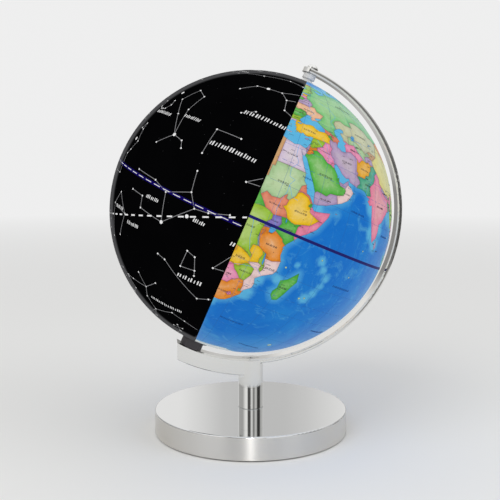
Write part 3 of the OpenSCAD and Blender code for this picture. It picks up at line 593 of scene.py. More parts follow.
# A point in each land region, with its colour and the length in degrees of its label mark.
LANDS = [
    (24.1, 28, TAN, 0), (29.5, 26.5, PALE_LILAC, 4.5), (30, 15.5, SAGE, 5), (30, 7.3, SALMON, 5),
    (23.8, 7, GREEN, 0), (38.2, 15.8, SALMON, 0), (42.5, 11.8, GREEN, 0), (40, 8, YELLOW, 6),
    (46.5, 6, ROSE, 0), (43.2, 2.5, ROSE, 0), (38, 0.8, GREEN, 4), (32.2, 1.8, VIOLET, 3),
    (25, -3, LEAF, 5), (30, -1.9, ORANGE, 0), (35, -6.5, ORANGE, 5.5), (26.5, -14.5, YELLOW, 4.5),
    (24, -12, GOLD, 0), (34, -13.2, LEAF, 0), (38, -14.5, BLUSH, 4), (30, -19, LEAF, 4.5),
    (24.3, -22, PINK, 4), (26, -29.5, ORANGE, 5), (31.5, -26.6, LEAF, 0), (28.3, -29.6, PINK, 0),
    (46.7, -19.5, GREEN, 4), (35, 31, LILAC, 0), (34.6, 30.6, LILAC, 0), (35.8, 33.9, GREEN, 0),
    (38, 35, LEAF, 3), (36.6, 31.2, ORANGE, 0), (43.5, 33, PINK, 3), (45, 24, GREEN, 6),
    (54.2, 23.6, LILAC, 0), (47, 15.6, LILAC, 4), (56.6, 21, BLUSH, 3), (34, 39, YELLOW, 6),
    (43.3, 42, SALMON, 0), (45, 40.3, GREEN, 0), (47.8, 40.6, SALMON, 0), (54.5, 33, LILAC, 5),
    (59, 39.5, PINK, 4), (63.5, 42, SAGE, 4), (68, 48.5, STONE, 8), (75, 41.6, TAN, 2),
    (71, 38.6, LILAC, 2), (66, 33.5, GOLD, 5), (68.5, 28, TEAL, 4), (79, 22, ROSE, 6),
    (84.3, 28.2, LILAC, 2), (90.4, 27.3, GREEN, 0), (90.2, 24, GREEN, 2), (80.8, 7.3, LILAC, 0),
    (103, 34, STRAW, 10), (104, 46.5, ORANGE, 7), (127, 40.3, LILAC, 2), (127.8, 36.3, PEACH, 2),
    (96, 21.5, LEAF, 4), (101, 15.5, PINK, 4), (103.5, 18.6, GREEN, 0), (104.8, 12.8, LILAC, 2),
    (107.9, 13.5, GOLD, 0), (106, 21.5, GOLD, 2), (102.2, 4, GOLD, 2), (114.4, 3.4, GOLD, 2),
    (114, -1, MEADOW, 5), (102, 0, MEADOW, 5), (110, -7.3, MEADOW, 5), (120.3, -2.3, MEADOW, 0),
    (125, -9.2, ORANGE, 0), (138.5, -4.5, MEADOW, 4), (144, -6, GOLD, 4), (150, -5.6, GOLD, 0),
    (121, 16.5, SALMON, 2), (125, 7.7, SALMON, 2), (118.5, 9.9, SALMON, 0), (123.6, 11, SALMON, 0),
    (121, 23.7, PEACH, 0), (109.8, 19.2, STRAW, 0), (131, 32.6, ROSE, 0), (133.4, 33.6, ROSE, 0),
    (138, 36, ROSE, 4), (143, 43.5, ROSE, 2), (142.8, 51, MEADOW, 0), (122, -25, ORANGE, 8),
    (133.5, -20, LEAF, 7), (134, -29, PINK, 7), (145, -23, YELLOW, 7), (146.5, -32.5, LILAC, 6),
    (144.8, -37, GREEN, 3), (146.8, -42, ORANGE, 0), (176, -38.6, PEACH, 2), (171, -43.4, PEACH, 3),
    (60, 61, MEADOW, 9), (100, 63, MEADOW, 13), (58.5, 74, MEADOW, 0), (98, 79.4, MEADOW, 0),
    (143, 74.7, MEADOW, 0), (180, 71.3, MEADOW, 0), (24.4, 79.4, BLUSH, 0), (31, 49, PEACH, 5),
    (28, 47, GREEN, 0), (28, 53.4, LILAC, 3), (24.5, 55.4, GREEN, 0), (25.5, 56.9, PINK, 0),
    (26, 58.7, YELLOW, 0), (27, 64, LEAF, 3), (25, 70.2, ORANGE, 0), (25, 46, GREEN, 3),
    (25.5, 42.8, LEAF, 2), (24, 41.1, PALE_LILAC, 0), (24.4, 50, PEACH, 0), (25, 35.3, PALE_LILAC, 0),
    (33.3, 35.1, LILAC, 0), (53.8, 12.5, LILAC, 0), (90, -76, ICE, 9), (200, 66, BLUSH, 3),
    (27.2, 41.3, YELLOW, 0), (24.1, -17.9, PINK, 0), (34.5, -21, BLUSH, 0),
]
SEAS = [
    (70, -10), (30, 34), (38, 20), (52, 26.6), (33, 43.5), (37.4, 46.4), (28.3, 40.7), (51, 38.5),
    (59.8, 45.2), (76, 46.5), (107, 52.6), (33, -1), (29.6, -5.6), (34.6, -12.6), (36.2, 3.5),
    (24, 64.8), (26, 59.9), (38, 65.5), (60, 78), (103, 9), (120, -60), (150, 50), (23.6, 38.9),
    (32.9, -1.5), (33.9, -0.5), (30.9, -8.4), (34.8, -11.5), (34.4, -10.3), (36, 4.4), (59.4, 44.6),
    (29.7, -6.1), (23.8, 57.9),
]
# Shallow and enclosed seas: longitude, latitude, reach in degrees.
SHALLOWS = [
    (29, 34, 8), (36, 34, 5), (25, 38, 5), (34, 43.5, 7), (51, 41.5, 8), (34.5, 27, 4), (37, 23, 4),
    (39.5, 19, 4), (42, 15, 4), (46, 12, 3), (50, 28, 4), (53, 26, 4), (57, 25, 3), (71.5, 19.5, 4),
    (75, 11, 4), (79.5, 8, 4), (81, 14, 4), (90, 20, 5), (107, 6, 9), (112, 18, 6), (118, 30, 8),
    (38, 47, 3), (42.5, -17, 3), (36, -20, 3.5), (55.5, -5, 3), (58, -8, 2.5), (61, -10.5, 3),
    (61, -14, 2.5), (60, -17.5, 2.5), (57.5, -20.5, 3), (47, -9.5, 2), (34, -27, 4), (22, -36, 4),
    (130, -11, 9), (60, 72, 8), (45, 67, 8), (24, 61, 6),
]
# Name marks on the sea: longitude, latitude and length in degrees.
SEA_LABELS = [
    (72, -12, 11), (64, 16, 7), (88, 12, 7), (86, -34, 12), (112, 15, 6), (138, 18, 10), (160, 35, 12),
    (165, -8, 12), (155, -40, 9), (185, 10, 12), (150, 54, 6), (38.3, 20.4, 4), (75, 76, 7),
    (185, -30, 11), (36, -42, 9), (60, -55, 10), (120, -50, 11),
]


# ---------- meshes on the ball ----------

def make_object(name, points, faces, material):
    mesh = bpy.data.meshes.new(name)
    mesh.from_pydata([tuple(p) for p in points], [], faces)
    mesh.validate()
    mesh.materials.append(material)
    made = bpy.data.objects.new(name, mesh)
    bpy.context.scene.collection.objects.link(made)
    return made


def great_path(points, step):
    """Unit vectors along a chain of points, no further apart than step degrees."""
    path = [points[0]]
    for start, end in zip(points, points[1:]):
        angle = math.degrees(math.acos(max(-1, min(1, float(start @ end)))))
        count = max(1, math.ceil(angle / step))
        for i in range(1, count + 1):
            p = start + (end - start) * (i / count)
            path.append(p / np.linalg.norm(p))
    return path


def coast_lines():
    closed = [numbers(text) for text in CLOSED_COASTS]
    return [numbers(text) for text in OPEN_COASTS] + [line + line[:1] for line in closed]


def islet_lines():
    """Each islet is a seven-sided outline."""
    lines = []
    for lon, lat, size in ISLETS:
        wide = size / math.cos(math.radians(lat))
        corners = [math.tau * i / 7 for i in range(8)]
        lines.append([(lon + wide * math.cos(t), lat + size * math.sin(t)) for t in corners])
    return lines


# Mesh steps in degrees, and the number of steps round the seam and round each hole.
GRID_STEP = 1.25
CUT_STEP = 2.0
SEAM_STEPS = 288
HOLE_STEPS = 32
# Openings of the sheets round the pole fittings, as radii and then as angles from the pole.
NORTH_R = 4.7 * MM
SOUTH_R = 8.7 * MM
HOLE_NORTH = math.degrees(math.asin(NORTH_R / BALL_R))
HOLE_SOUTH = math.degrees(math.asin(SOUTH_R / BALL_R))


def sheet_layout(side, lines):
    """Cuts one half of the print into triangles that follow the given lines.

    side is +1 for the day half and -1 for the night half, and a line is a list of unit vectors.
    Returns the triangle corners as unit vectors, the triangles, and the cut edges."""
    out = DAY * side
    across = -SEAM * side

    def flat(p):
        return (p @ across / (1 + p @ out), p @ POLE / (1 + p @ out))

    def lifted(x, y):
        s = x * x + y * y
        return (2 * x * across + 2 * y * POLE + (1 - s) * out) / (1 + s)

    verts, edges = [], []

    def add_line(path):
        start = len(verts)
        verts.extend(flat(p) for p in path)
        edges.extend((start + i, start + i + 1) for i in range(len(path) - 1))

    rim = [math.tau * i / SEAM_STEPS for i in range(SEAM_STEPS + 1)]
    add_line([math.cos(t) * across + math.sin(t) * POLE for t in rim])
    for pole, hole in ((POLE, HOLE_NORTH), (-POLE, HOLE_SOUTH)):
        h = math.radians(hole)
        turns = [math.tau * i / HOLE_STEPS for i in range(HOLE_STEPS + 1)]
        ring = [math.cos(t) * across + math.sin(t) * out for t in turns]
        add_line([math.cos(h) * pole + math.sin(h) * p for p in ring])
    for line in lines:
        add_line(great_path(line, CUT_STEP))

    taken = KDTree(len(verts))
    for i, (x, y) in enumerate(verts):
        taken.insert((x, y, 0), i)
    taken.balance()
    for ring in range(int(90 / GRID_STEP)):
        angle = ring * GRID_STEP
        count = max(1, round(360 * math.sin(math.radians(angle)) / GRID_STEP))
        radius = math.tan(math.radians(angle) / 2)
        for i in range(count):
            turn = math.tau * (i + 0.5 * (ring % 2)) / count
            x, y = radius * math.cos(turn), radius * math.sin(turn)
            if taken.find((x, y, 0))[2] > 0.3 * math.radians(GRID_STEP):
                verts.append((x, y))

    made = delaunay_2d_cdt([Vector(v) for v in verts], edges, [], 0, 1e-5)
    points = [lifted(v.x, v.y) for v in made[0]]
    cut = {tuple(sorted(edge)) for edge, origin in zip(made[1], made[4]) if origin}
    triangles = []
    for face in made[2]:
        middle = sum(points[i] for i in face)
        middle = middle / np.linalg.norm(middle)
        polar = math.degrees(math.asin(max(-1, min(1, middle @ POLE))))
        if middle @ out > 0 and -90 + HOLE_SOUTH < polar < 90 - HOLE_NORTH:
            triangles.append(tuple(face))
    return points, triangles, cut


def regions(triangles, cut):
    """Numbers the triangles by region, where a cut edge divides regions."""
    beside = {}
    for index, face in enumerate(triangles):
        for a, b in zip(face, face[1:] + face[:1]):
            key = (min(a, b), max(a, b))
            if key not in cut:
                beside.setdefault(key, []).append(index)
    neighbours = [[] for _ in triangles]
    for pair in beside.values():
        if len(pair) == 2:
            neighbours[pair[0]].append(pair[1])
            neighbours[pair[1]].append(pair[0])
    group = [-1] * len(triangles)
    count = 0
    for start in range(len(triangles)):
        if group[start] >= 0:
            continue
        queue = deque([start])
        group[start] = count
        while queue:
            for other in neighbours[queue.popleft()]:
                if group[other] < 0:
                    group[other] = count
                    queue.append(other)
        count += 1
    return group


def holds(points, face, target):
    """True if the triangle, seen from the ball's centre, contains the target direction."""
    a, b, c = (points[i] for i in face)
    signs = [np.cross(p, q) @ target for p, q in ((a, b), (b, c), (c, a))]
    return min(signs) >= 0 or max(signs) <= 0


def find_triangle(points, triangles, tree, target):
    for _, index, _ in tree.find_n(target, 24):
        if holds(points, triangles[index], target):
            return index
    return tree.find(target)[1]


def tint_regions(points, triangles, group):
    """A colour for each triangle: land tints have alpha 1 and the sea has alpha 0."""
    tree = KDTree(len(triangles))
    for index, face in enumerate(triangles):
        tree.insert(sum(points[i] for i in face) / 3, index)
    tree.balance()
    colour_of = {}
    for lon, lat, colour, _ in LANDS:
        where = find_triangle(points, triangles, tree, on_map(lon, lat))
        colour_of.setdefault(group[where], colour)
    for lon, lat in SEAS:
        where = find_triangle(points, triangles, tree, on_map(lon, lat))
        colour_of[group[where]] = SEA_DEEP[:3] + (0.0,)
    tints = []
    for index in range(len(triangles)):
        tints.append(colour_of.get(group[index], SAGE))
    return tints


def distance_field(points, lines, reach):
    """Each point's distance in degrees from the nearest of the lines, up to reach."""
    samples = [p for line in lines for p in great_path(line, 0.4)]
    tree = KDTree(len(samples))
    for index, p in enumerate(samples):
        tree.insert(p, index)
    tree.balance()
    return [min(reach, math.degrees(tree.find(p)[2])) for p in points]


def shelf_field(points):
    """How far each point lies on a shallow sea, from 0 to 1."""
    shallow = np.zeros(len(points))
    for lon, lat, reach in SHALLOWS:
        angles = np.degrees(np.arccos(np.clip(np.array(points) @ on_map(lon, lat), -1, 1)))
        shallow = np.maximum(shallow, np.clip(1.3 * (1 - angles / reach), 0, 0.85))
    return shallow


def build_sheet(name, side, lines, material):
    points, triangles, cut = sheet_layout(side, lines)
    used = sorted({i for face in triangles for i in face})
    place = {old: new for new, old in enumerate(used)}
    points = [points[i] for i in used]
    cut = {(place[a], place[b]) for a, b in cut if a in place and b in place}
    cut = {(min(edge), max(edge)) for edge in cut}
    triangles = [tuple(place[i] for i in face) for face in triangles]
    made = make_object(name, [CENTRE + p * BALL_R for p in points], triangles, material)
    made.data.shade_smooth()
    solid = made.modifiers.new("sheet", "SOLIDIFY")
    solid.thickness = SKIN_T
    solid.offset = -1
    return made, points, triangles, cut


def build_map():
    coasts = [[on_map(*p) for p in line] for line in coast_lines()]
    islets = [[on_map(*p) for p in line] for line in islet_lines()]
    borders = [[on_map(*p) for p in numbers(text)] for text in BORDERS]
    lines = coasts + islets + borders
    made, points, triangles, cut = build_sheet("world_map_print", 1, lines, map_print("map_print"))
    tints = tint_regions(points, triangles, regions(triangles, cut))
    mesh = made.data
    tint = mesh.attributes.new("tint", "FLOAT_COLOR", "CORNER")
    corner_colours = [c for polygon in mesh.polygons for c in [tints[polygon.index]] * 3]
    tint.data.foreach_set("color", np.array(corner_colours, np.float32).ravel())
    fields = {
        "shore": distance_field(points, coasts, 6),
        "edge": distance_field(points, coasts + borders, 8),
        "shelf": shelf_field(points),
    }
    for attribute, values in fields.items():
        mesh.attributes.new(attribute, "FLOAT", "POINT").data.foreach_set("value", values)
    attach(made, "ball")
    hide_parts("day_map_skin")
    return coasts + islets, borders


def build_chart():
    made, *_ = build_sheet("star_chart_print", -1, [], chart_black("star_print"))
    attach(made, "ball")
    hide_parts("night_chart_skin")


# How far the ink reaches down into the sheet.
INK_SINK = 0.03 * MM


class Print:
    """Thin closed strips and dots of ink, gathered into one piece that rides on the ball."""

    def __init__(self, side, lift=0.03):
        """side is +1 for the day half and -1 for the night half; lift is in millimetres."""
        self.side = side
        self.low = BALL_R - INK_SINK
        self.high = BALL_R + lift * MM
        self.points = []
        self.faces = []

    def shown(self, p):
        """Keeps ink on its own half and clear of the pole fittings."""
        polar = math.degrees(math.asin(max(-1, min(1, p @ POLE))))
        return p @ DAY * self.side > 0.0015 and -89.2 + HOLE_SOUTH < polar < 89.2 - HOLE_NORTH

    def add_prism(self, outline):
        """A closed flat shape with the given outline of unit vectors."""
        start, n = len(self.points), len(outline)
        self.points += [CENTRE + p * self.low for p in outline] + [CENTRE + p * self.high for p in outline]
        self.faces.append(tuple(start + i for i in reversed(range(n))))
        self.faces.append(tuple(start + n + i for i in range(n)))
        for i in range(n):
            j = (i + 1) % n
            self.faces.append((start + i, start + j, start + n + j, start + n + i))

    def strip(self, path, width):
        """A ribbon along unit vectors, broken where it leaves its half."""
        run = []
        for p in path + [None]:
            if p is not None and self.shown(p):
                run.append(p)
                continue
            if len(run) > 1:
                self._ribbon(run, width)
            run = []

    def _ribbon(self, run, width):
        half = width * MM / 2 / BALL_R
        start = len(self.points)
        for i, p in enumerate(run):
            ahead = run[min(i + 1, len(run) - 1)] - run[max(i - 1, 0)]
            side = np.cross(p, ahead)
            side = side / np.linalg.norm(side) * half
            left, right = p - side, p + side
            for q, r in ((left, self.low), (left, self.high), (right, self.high), (right, self.low)):
                self.points.append(CENTRE + q / np.linalg.norm(q) * r)
        for i in range(len(run) - 1):
            a, b = start + 4 * i, start + 4 * i + 4
            for k in range(4):
                m = (k + 1) % 4
                self.faces.append((a + k, a + m, b + m, b + k))
        end = start + 4 * (len(run) - 1)
        self.faces.append((start + 3, start + 2, start + 1, start))
        self.faces.append((end, end + 1, end + 2, end + 3))

    def dot(self, p, radius, corners=14):
        if not self.shown(p):
            return
        east = np.cross(POLE, p)
        east = east / np.linalg.norm(east)
        north = np.cross(p, east)
        size = radius * MM / BALL_R
        outline = []
        for i in range(corners):
            t = math.tau * i / corners
            q = p + size * (math.cos(t) * east + math.sin(t) * north)
            outline.append(q / np.linalg.norm(q))
        self.add_prism(outline)

    def label(self, p, length, height, heavy=1.0):
        """Marks where a name would stand: slanted upright strokes in small groups, not letters.

        length and height are in millimetres, and heavy widens the strokes and their gaps."""
        east = np.cross(POLE, p)
        east = east / np.linalg.norm(east)
        north = np.cross(p, east)
        size = MM / BALL_R
        x = -length / 2
        while x < length / 2:
            for _ in range(random.choice((1, 2, 2, 3))):
                wide = heavy * height * random.uniform(0.12, 0.2)
                tall = height * random.choice((0.8, 1.0, 1.0))
                slant = 0.14 * height
                low = -0.5 * height
                top = low + tall
                corners = ((x, low), (x + wide, low), (x + wide + slant, top), (x + slant, top))
                outline = [p + size * (cx * east + cy * north) for cx, cy in corners]
                outline = [q / np.linalg.norm(q) for q in outline]
                if all(self.shown(q) for q in outline):
                    self.add_prism(outline)
                x += wide + heavy * height * 0.19
            x += height * 0.2

    def finish(self, name, material):
        made = make_object(name, self.points, self.faces, material)
        bm = bmesh.new()
        bm.from_mesh(made.data)
        bmesh.ops.recalc_face_normals(bm, faces=bm.faces)
        bm.to_mesh(made.data)
        bm.free()
        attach(made, "ball")


# ---------- ink on the map half ----------

# Widths of the printed lines, in millimetres.
COAST_W = 0.16
BORDER_W = 0.2
RIVER_W = 0.2
GRID_W = 0.13
TROPIC_W = 0.22


def print_map_lines(coasts, borders):
    coast_ink = Print(1, lift=0.02)
    border_ink = Print(1, lift=0.025)
    for line in coasts:
        coast_ink.strip(great_path(line, 1.0), COAST_W)
    for line in borders:
        border_ink.strip(great_path(line, 1.0), BORDER_W)
    coast_ink.finish("coast_lines", ink("coast_ink", srgb(40, 92, 130), 0.1))
    border_ink.finish("border_lines", ink("border_ink", srgb(112, 82, 96), 0.1))
    rivers = Print(1, lift=0.022)
    for text in RIVERS:
        rivers.strip(great_path([on_map(*p) for p in numbers(text)], 0.8), RIVER_W)
    rivers.finish("river_lines", ink("river_ink", srgb(72, 150, 214), 0.2))


def parallel(lat):
    """The map's circle of latitude, from seam to seam."""
    step = 1.5
    return [on_map(SEAM_LON + step * i, lat) for i in range(round(180 / step) + 1)]


def print_grid():
    grid = Print(1, lift=0.015)
    for lon in range(30, 211, 15):
        grid.strip([on_map(lon, lat) for lat in np.arange(-85, 85.1, 1.5)], GRID_W)
    for lat in (-75, -60, -45, -30, -15, 15, 30, 45, 60, 75):
        grid.strip(parallel(lat), GRID_W)
    for lat in (-66.5, -23.45, 23.45, 66.5):
        for lon in np.arange(SEAM_LON, SEAM_LON + 180, 3.0):
            grid.strip([on_map(lon, lat), on_map(lon + 0.9, lat), on_map(lon + 1.8, lat)], TROPIC_W)
    grid.finish("map_grid", ink("grid_ink", srgb(38, 92, 160), 0.1))


def print_map_labels():
    dark = Print(1, lift=0.04)
    blue = Print(1, lift=0.04)
    for lon, lat, _, length in LANDS:
        if length:
            size = length * math.radians(1) * BALL_R / MM
            dark.label(on_map(lon, lat), size * 0.8, 1.25 if length > 3 else 0.9, 1.5)
            dark.dot(on_map(lon + length * 0.3, lat - 1.9), 0.22, 8)
    spots = random.Random(12)
    for _ in range(170):
        lon, lat, colour, _ = spots.choice(LANDS)
        if colour is ICE:
            continue
        lon, lat = lon + spots.uniform(-3, 3), lat + spots.uniform(-2.4, 2.4)
        dark.dot(on_map(lon, lat), 0.14, 6)
        dark.label(on_map(lon + 0.9, lat + 0.5), spots.uniform(1.3, 2.8), 0.6, 1.5)
    for lon, lat, length in SEA_LABELS:
        blue.label(on_map(lon, lat), length * math.radians(1) * BALL_R / MM, 1.35, 1.3)
    dark.finish("map_name_marks", ink("name_ink", srgb(48, 40, 52), 0.02))
    blue.finish("sea_name_marks", ink("sea_name_ink", srgb(20, 52, 118), 0.04))


# ---------- the star chart, as right ascension and declination in degrees ----------

FIGURES = [
    # Ursa Major, Ursa Minor, Draco, Cepheus
    "206.9 49.3, 201 54.9, 193.5 56, 183.9 57, 178.5 53.7, 165.5 56.4, 165.9 61.8, 183.9 57",
    "178.5 53.7, 176.5 47.8, 167.4 44.5",
    "263 86.6, 251.5 82, 236 77.8, 222.7 74.2, 230.2 71.8, 244.4 75.8, 236 77.8",
    "172.9 69.3, 188.4 69.8, 211.1 64.4, 231.2 59, 240.5 58.6, 246 61.5, 257.2 65.7, 275.3 72.7,"
    "288.1 67.7, 268.4 56.9, 269.2 51.5, 262.6 52.3, 263 55.2, 268.4 56.9",
    "319.6 62.6, 322.2 70.6, 342.4 66.2, 332.7 58.2, 319.6 62.6",
    # Canes Venatici, Coma Berenices, Bootes, Corona Borealis, Hercules
    "194 38.3, 188.4 41.4", "197.5 17.5, 198 27.9, 186.7 28.3",
    "220.3 13.7, 213.9 19.2, 221.2 27.1, 228.9 33.3, 225.5 40.4, 218 38.3, 218 30.4, 213.9 19.2,"
    "208.7 18.4, 206.8 15.8",
    "233.2 31.4, 231.9 29.1, 233.7 26.7, 235.7 26.3, 237.4 26.1, 239.4 26.9, 240.4 29.9",
    "245.5 19.2, 247.6 21.5, 250.3 31.6, 250.7 38.9, 245 46.3",
    "250.7 38.9, 258.8 36.8, 255.1 30.9, 250.3 31.6", "255.1 30.9, 258.8 24.8, 266.6 27.7",
    "258.8 36.8, 264.9 46",
    # Leo's tail, Virgo, Corvus, Crater, Hydra, Centaurus, Crux, Lupus
    "165 20, 168.5 20.5, 177.3 14.6, 168.6 15.4, 165 15.6",
    "177.7 1.8, 185 -0.7, 190.4 -1.4, 193.9 3.4, 195.5 11",
    "193.9 3.4, 203.7 -0.6, 201.3 -11.2, 190.4 -1.4", "203.7 -0.6, 210.4 1.5, 221.6 1.9",
    "201.3 -11.2, 213.2 -10.3, 214 -6, 220.8 -5.7",
    "182.1 -24.7, 182.5 -22.6, 184 -17.5, 187.5 -16.5, 188.6 -23.4, 182.5 -22.6",
    "171.2 -10.9, 176.2 -18.4, 171.2 -17.7, 165 -18.3",
    "199.7 -23.2, 196 -24, 178.2 -33.9, 173.3 -31.9, 166 -29", "219.9 -60.8, 205 -53.5, 211 -60.4",
    "205 -53.5, 208.9 -47.3, 207.4 -41.7, 211.7 -36.4", "207.4 -41.7, 200.1 -36.7",
    "207.4 -41.7, 218.9 -42.2, 224.8 -42.1", "205 -53.5, 190.4 -49, 182.1 -50.7, 166 -54",
    "186.6 -63.1, 187.8 -57.1", "191.9 -59.7, 183.8 -58.7",
    "220.5 -47.4, 224.6 -43.1, 230.3 -40.6, 233.8 -41.2, 240 -38.4",
    "220.5 -47.4, 228.1 -52.1, 230.7 -44.7, 233.8 -41.2",
    # Libra, Scorpius, Sagittarius, Capricornus, Aquarius
    "226 -25.3, 222.7 -16, 229.3 -9.4, 233.9 -14.8, 222.7 -16", "233.9 -14.8, 234.3 -28.1",
    "241.4 -19.8, 240.1 -22.6, 239.7 -26.1",
    "240.1 -22.6, 245.3 -25.6, 247.4 -26.4, 249 -28.2, 252.5 -34.3, 253 -38, 253.6 -42.4, 258 -43.2,"
    "264.3 -43, 266.9 -40.1, 263.4 -37.1",
    "271.5 -30.4, 276 -34.4, 285.7 -29.9, 286.7 -27.7, 283.8 -26.3, 281.4 -27, 277 -25.4, 275.2 -29.8,"
    "271.5 -30.4",
    "275.2 -29.8, 276 -34.4", "281.4 -27, 285.7 -29.9", "283.8 -26.3, 287.4 -21",
    "304.5 -12.5, 305.3 -14.8, 313 -26.9, 321.7 -22.4, 326.8 -16.1, 316.5 -17.2, 305.3 -14.8",
    "311.9 -9.5, 322.9 -5.6, 331.4 -0.3, 335.4 -1.4, 337.2 0, 338.8 -0.1",
    "331.4 -0.3, 334.2 -7.8, 343.7 -15.8, 350.7 -20.1",
    # Serpens, Ophiuchus, Lyra, Cygnus, Aquila, Sagitta, Delphinus, Pegasus, Lacerta
    "243.6 -3.7, 237.4 -3.4, 237.7 4.5, 236.1 6.4, 233.7 10.5, 236.5 15.4, 239.1 15.7, 237.2 18.1,"
    "236.5 15.4",
    "264.4 -15.4, 265 -12.9, 270 -9.8, 275.3 -2.9, 284.1 4.2",
    "263.7 12.6, 265.9 4.6, 257.6 -15.7, 249.3 -10.6, 243.6 -3.7, 254.4 9.4, 263.7 12.6",
    "279.2 38.8, 281.2 37.6, 282.5 33.4, 284.7 32.7, 283.6 36.9, 281.2 37.6",
    "310.4 45.3, 305.6 40.3, 299.1 35.1, 292.7 28",
    "292.4 51.7, 296.2 45.1, 305.6 40.3, 311.6 34, 318.2 30.2",
    "286.4 13.9, 296.6 10.6, 297.7 8.9, 298.8 6.4, 302.8 -0.8, 291.4 3.1, 286.6 -4.9",
    "286.4 13.9, 291.4 3.1", "295 18, 296.8 18.5, 299.7 19.5",
    "308.3 11.3, 309.4 14.6, 309.9 15.9, 311.7 16.1, 310.9 15.1, 309.4 14.6",
    "326 9.9, 332.5 6.2, 340.4 10.8, 346.2 15.2, 356 15.2", "346.2 15.2, 345.9 28.1, 356 28.6",
    "345.9 28.1, 340.8 30.2, 332 33.2", "335.3 37.7, 337.8 47.7, 333.5 49.4",
    # Southern figures
    "344.4 -29.6, 340.2 -27, 326.2 -33, 337.9 -32.3, 344.4 -29.6",
    "328.5 -37.4, 332.1 -47, 340.7 -46.9, 342.1 -51.3",
    "306.4 -56.7, 311.2 -66.2, 302.2 -66.2, 281 -71.4",
    "262.9 -49.9, 261.3 -55.5, 254.9 -55.9, 252.4 -59",
    "252.2 -69, 238.8 -63.4, 229.7 -68.7, 252.2 -69", "286.6 -37, 287.4 -37.9, 287.5 -39.3, 285 -42",
    "189.3 -69.1, 191.6 -68.1, 195.6 -71.5", "311 -47.3, 320 -53.5, 312 -58.4",
]
# Stars with a bigger dot.
BRIGHT = (
    "213.9 19.2, 201.3 -11.2, 279.2 38.8, 247.4 -26.4, 297.7 8.9, 310.4 45.3, 344.4 -29.6,"
    "219.9 -60.8, 211 -60.4, 186.6 -63.1, 193.5 56, 237 11, 236 36, 262 -8, 192 -5"
)
# Name marks: right ascension, declination, length and height in millimetres.
CHART_LABELS = [
    (187, 23, 33, 3), (182, 40, 30, 3), (212, 28, 15, 2.3), (232, 25, 20, 2.3), (209, -5, 10, 2.3),
    (228, -15, 12, 2.3), (217, -18, 10, 2.3), (187, -5, 8, 2.3), (172, -7, 6, 3), (184, -27, 16, 3),
    (195, -46, 24, 2.3), (256, -32, 13, 2.3), (255, 5, 15, 2.3), (283, 42, 8, 2.3), (300, 52, 11, 2.3),
    (300, 3, 11, 2.3), (281, -38, 17, 2.3), (311, -32, 18, 2.3), (328, -12, 14, 2.3),
    (338, 21, 13, 2.3), (235, 62, 10, 2.3), (240, 68, 15, 2.3), (330, -42, 9, 2.3), (344, -35, 17, 2.3),
    (296, -61, 9, 2.3), (232, -52, 9, 2.3), (266, 20, 12, 2.3), (280, 6, 11, 2.3),
]
# Widths of the chart's lines and radii of its dots, in millimetres.
FIGURE_W = 0.36
STAR_R = 0.6
BRIGHT_R = 1.2
BAND_W = 2.2
LINE_GREY = (0.3, 0.3, 0.31, 1)
STAR_WHITE = (0.95, 0.95, 0.95, 1)
NAME_WHITE = (0.9, 0.9, 0.9, 1)
FAINT_GREY = (0.03, 0.03, 0.032, 1)


def print_chart():
    lines = Print(-1)
    stars = Print(-1, lift=0.05)
    marks = Print(-1)
    faint = Print(-1, lift=0.02)
    for text in FIGURES:
        points = [on_chart(*p) for p in numbers(text)]
        lines.strip(great_path(points, 0.9), FIGURE_W)
        for p in points:
            stars.dot(p, STAR_R)
    for place in numbers(BRIGHT):
        stars.dot(on_chart(*place), BRIGHT_R, 20)
    for ra, dec, length, height in CHART_LABELS:
        marks.label(on_chart(ra, dec), length, height, 1.6)
    sky = random.Random(31)
    for _ in range(260):
        ra = SEAM_RA + sky.uniform(1, 179)
        dec = math.degrees(math.asin(sky.uniform(-0.98, 0.98)))
        faint.dot(on_chart(ra, dec), sky.uniform(0.12, 0.3), 8)
    lines.finish("constellation_lines", chart_ink("chart_line_ink", LINE_GREY))
    stars.finish("stars", chart_ink("star_ink", STAR_WHITE))
    marks.finish("constellation_name_marks", chart_ink("chart_name_ink", NAME_WHITE))
    faint.finish("faint_stars", chart_ink("faint_star_ink", FAINT_GREY))


def on_ecliptic(angle):
    """A point of the chart's ecliptic, by its angle from the vernal equinox."""
    slope, angle = math.radians(23.44), math.radians(angle)
    ra = math.degrees(math.atan2(math.sin(angle) * math.cos(slope), math.cos(angle)))
    return on_chart(ra % 360, math.degrees(math.asin(math.sin(angle) * math.sin(slope))))


def dashes_along(sheet, place, count, filled, width):
    """A full circle of dashes; place turns an angle into a point, and filled is the dash's share."""
    for k in range(count):
        sheet.strip([place((k + part * filled) * 360 / count) for part in (0, 0.33, 0.67, 1)], width)


def print_circles():
    """The chart's celestial equator, a navy band with white dashes, and the ecliptic's dashes."""
    band = Print(-1, lift=0.035)
    dashes = Print(-1, lift=0.06)
    band.strip([on_chart(ra, 0) for ra in np.arange(SEAM_RA, SEAM_RA + 180.1, 1.5)], BAND_W)
    dashes_along(dashes, lambda angle: on_chart(angle, 0), count=73, filled=0.66, width=0.46)
    dashes_along(dashes, on_ecliptic, count=76, filled=0.48, width=0.95)
    band.finish("celestial_equator", chart_ink("celestial_equator_ink", srgb(22, 12, 96)))
    dashes.finish("circle_dashes", chart_ink("dash_ink", (0.92, 0.92, 0.92, 1)))


# ---------- the stand ----------

def paint(material, *names):
    for name in names:
        NODES[name].data.materials.clear()
        NODES[name].data.materials.append(material)


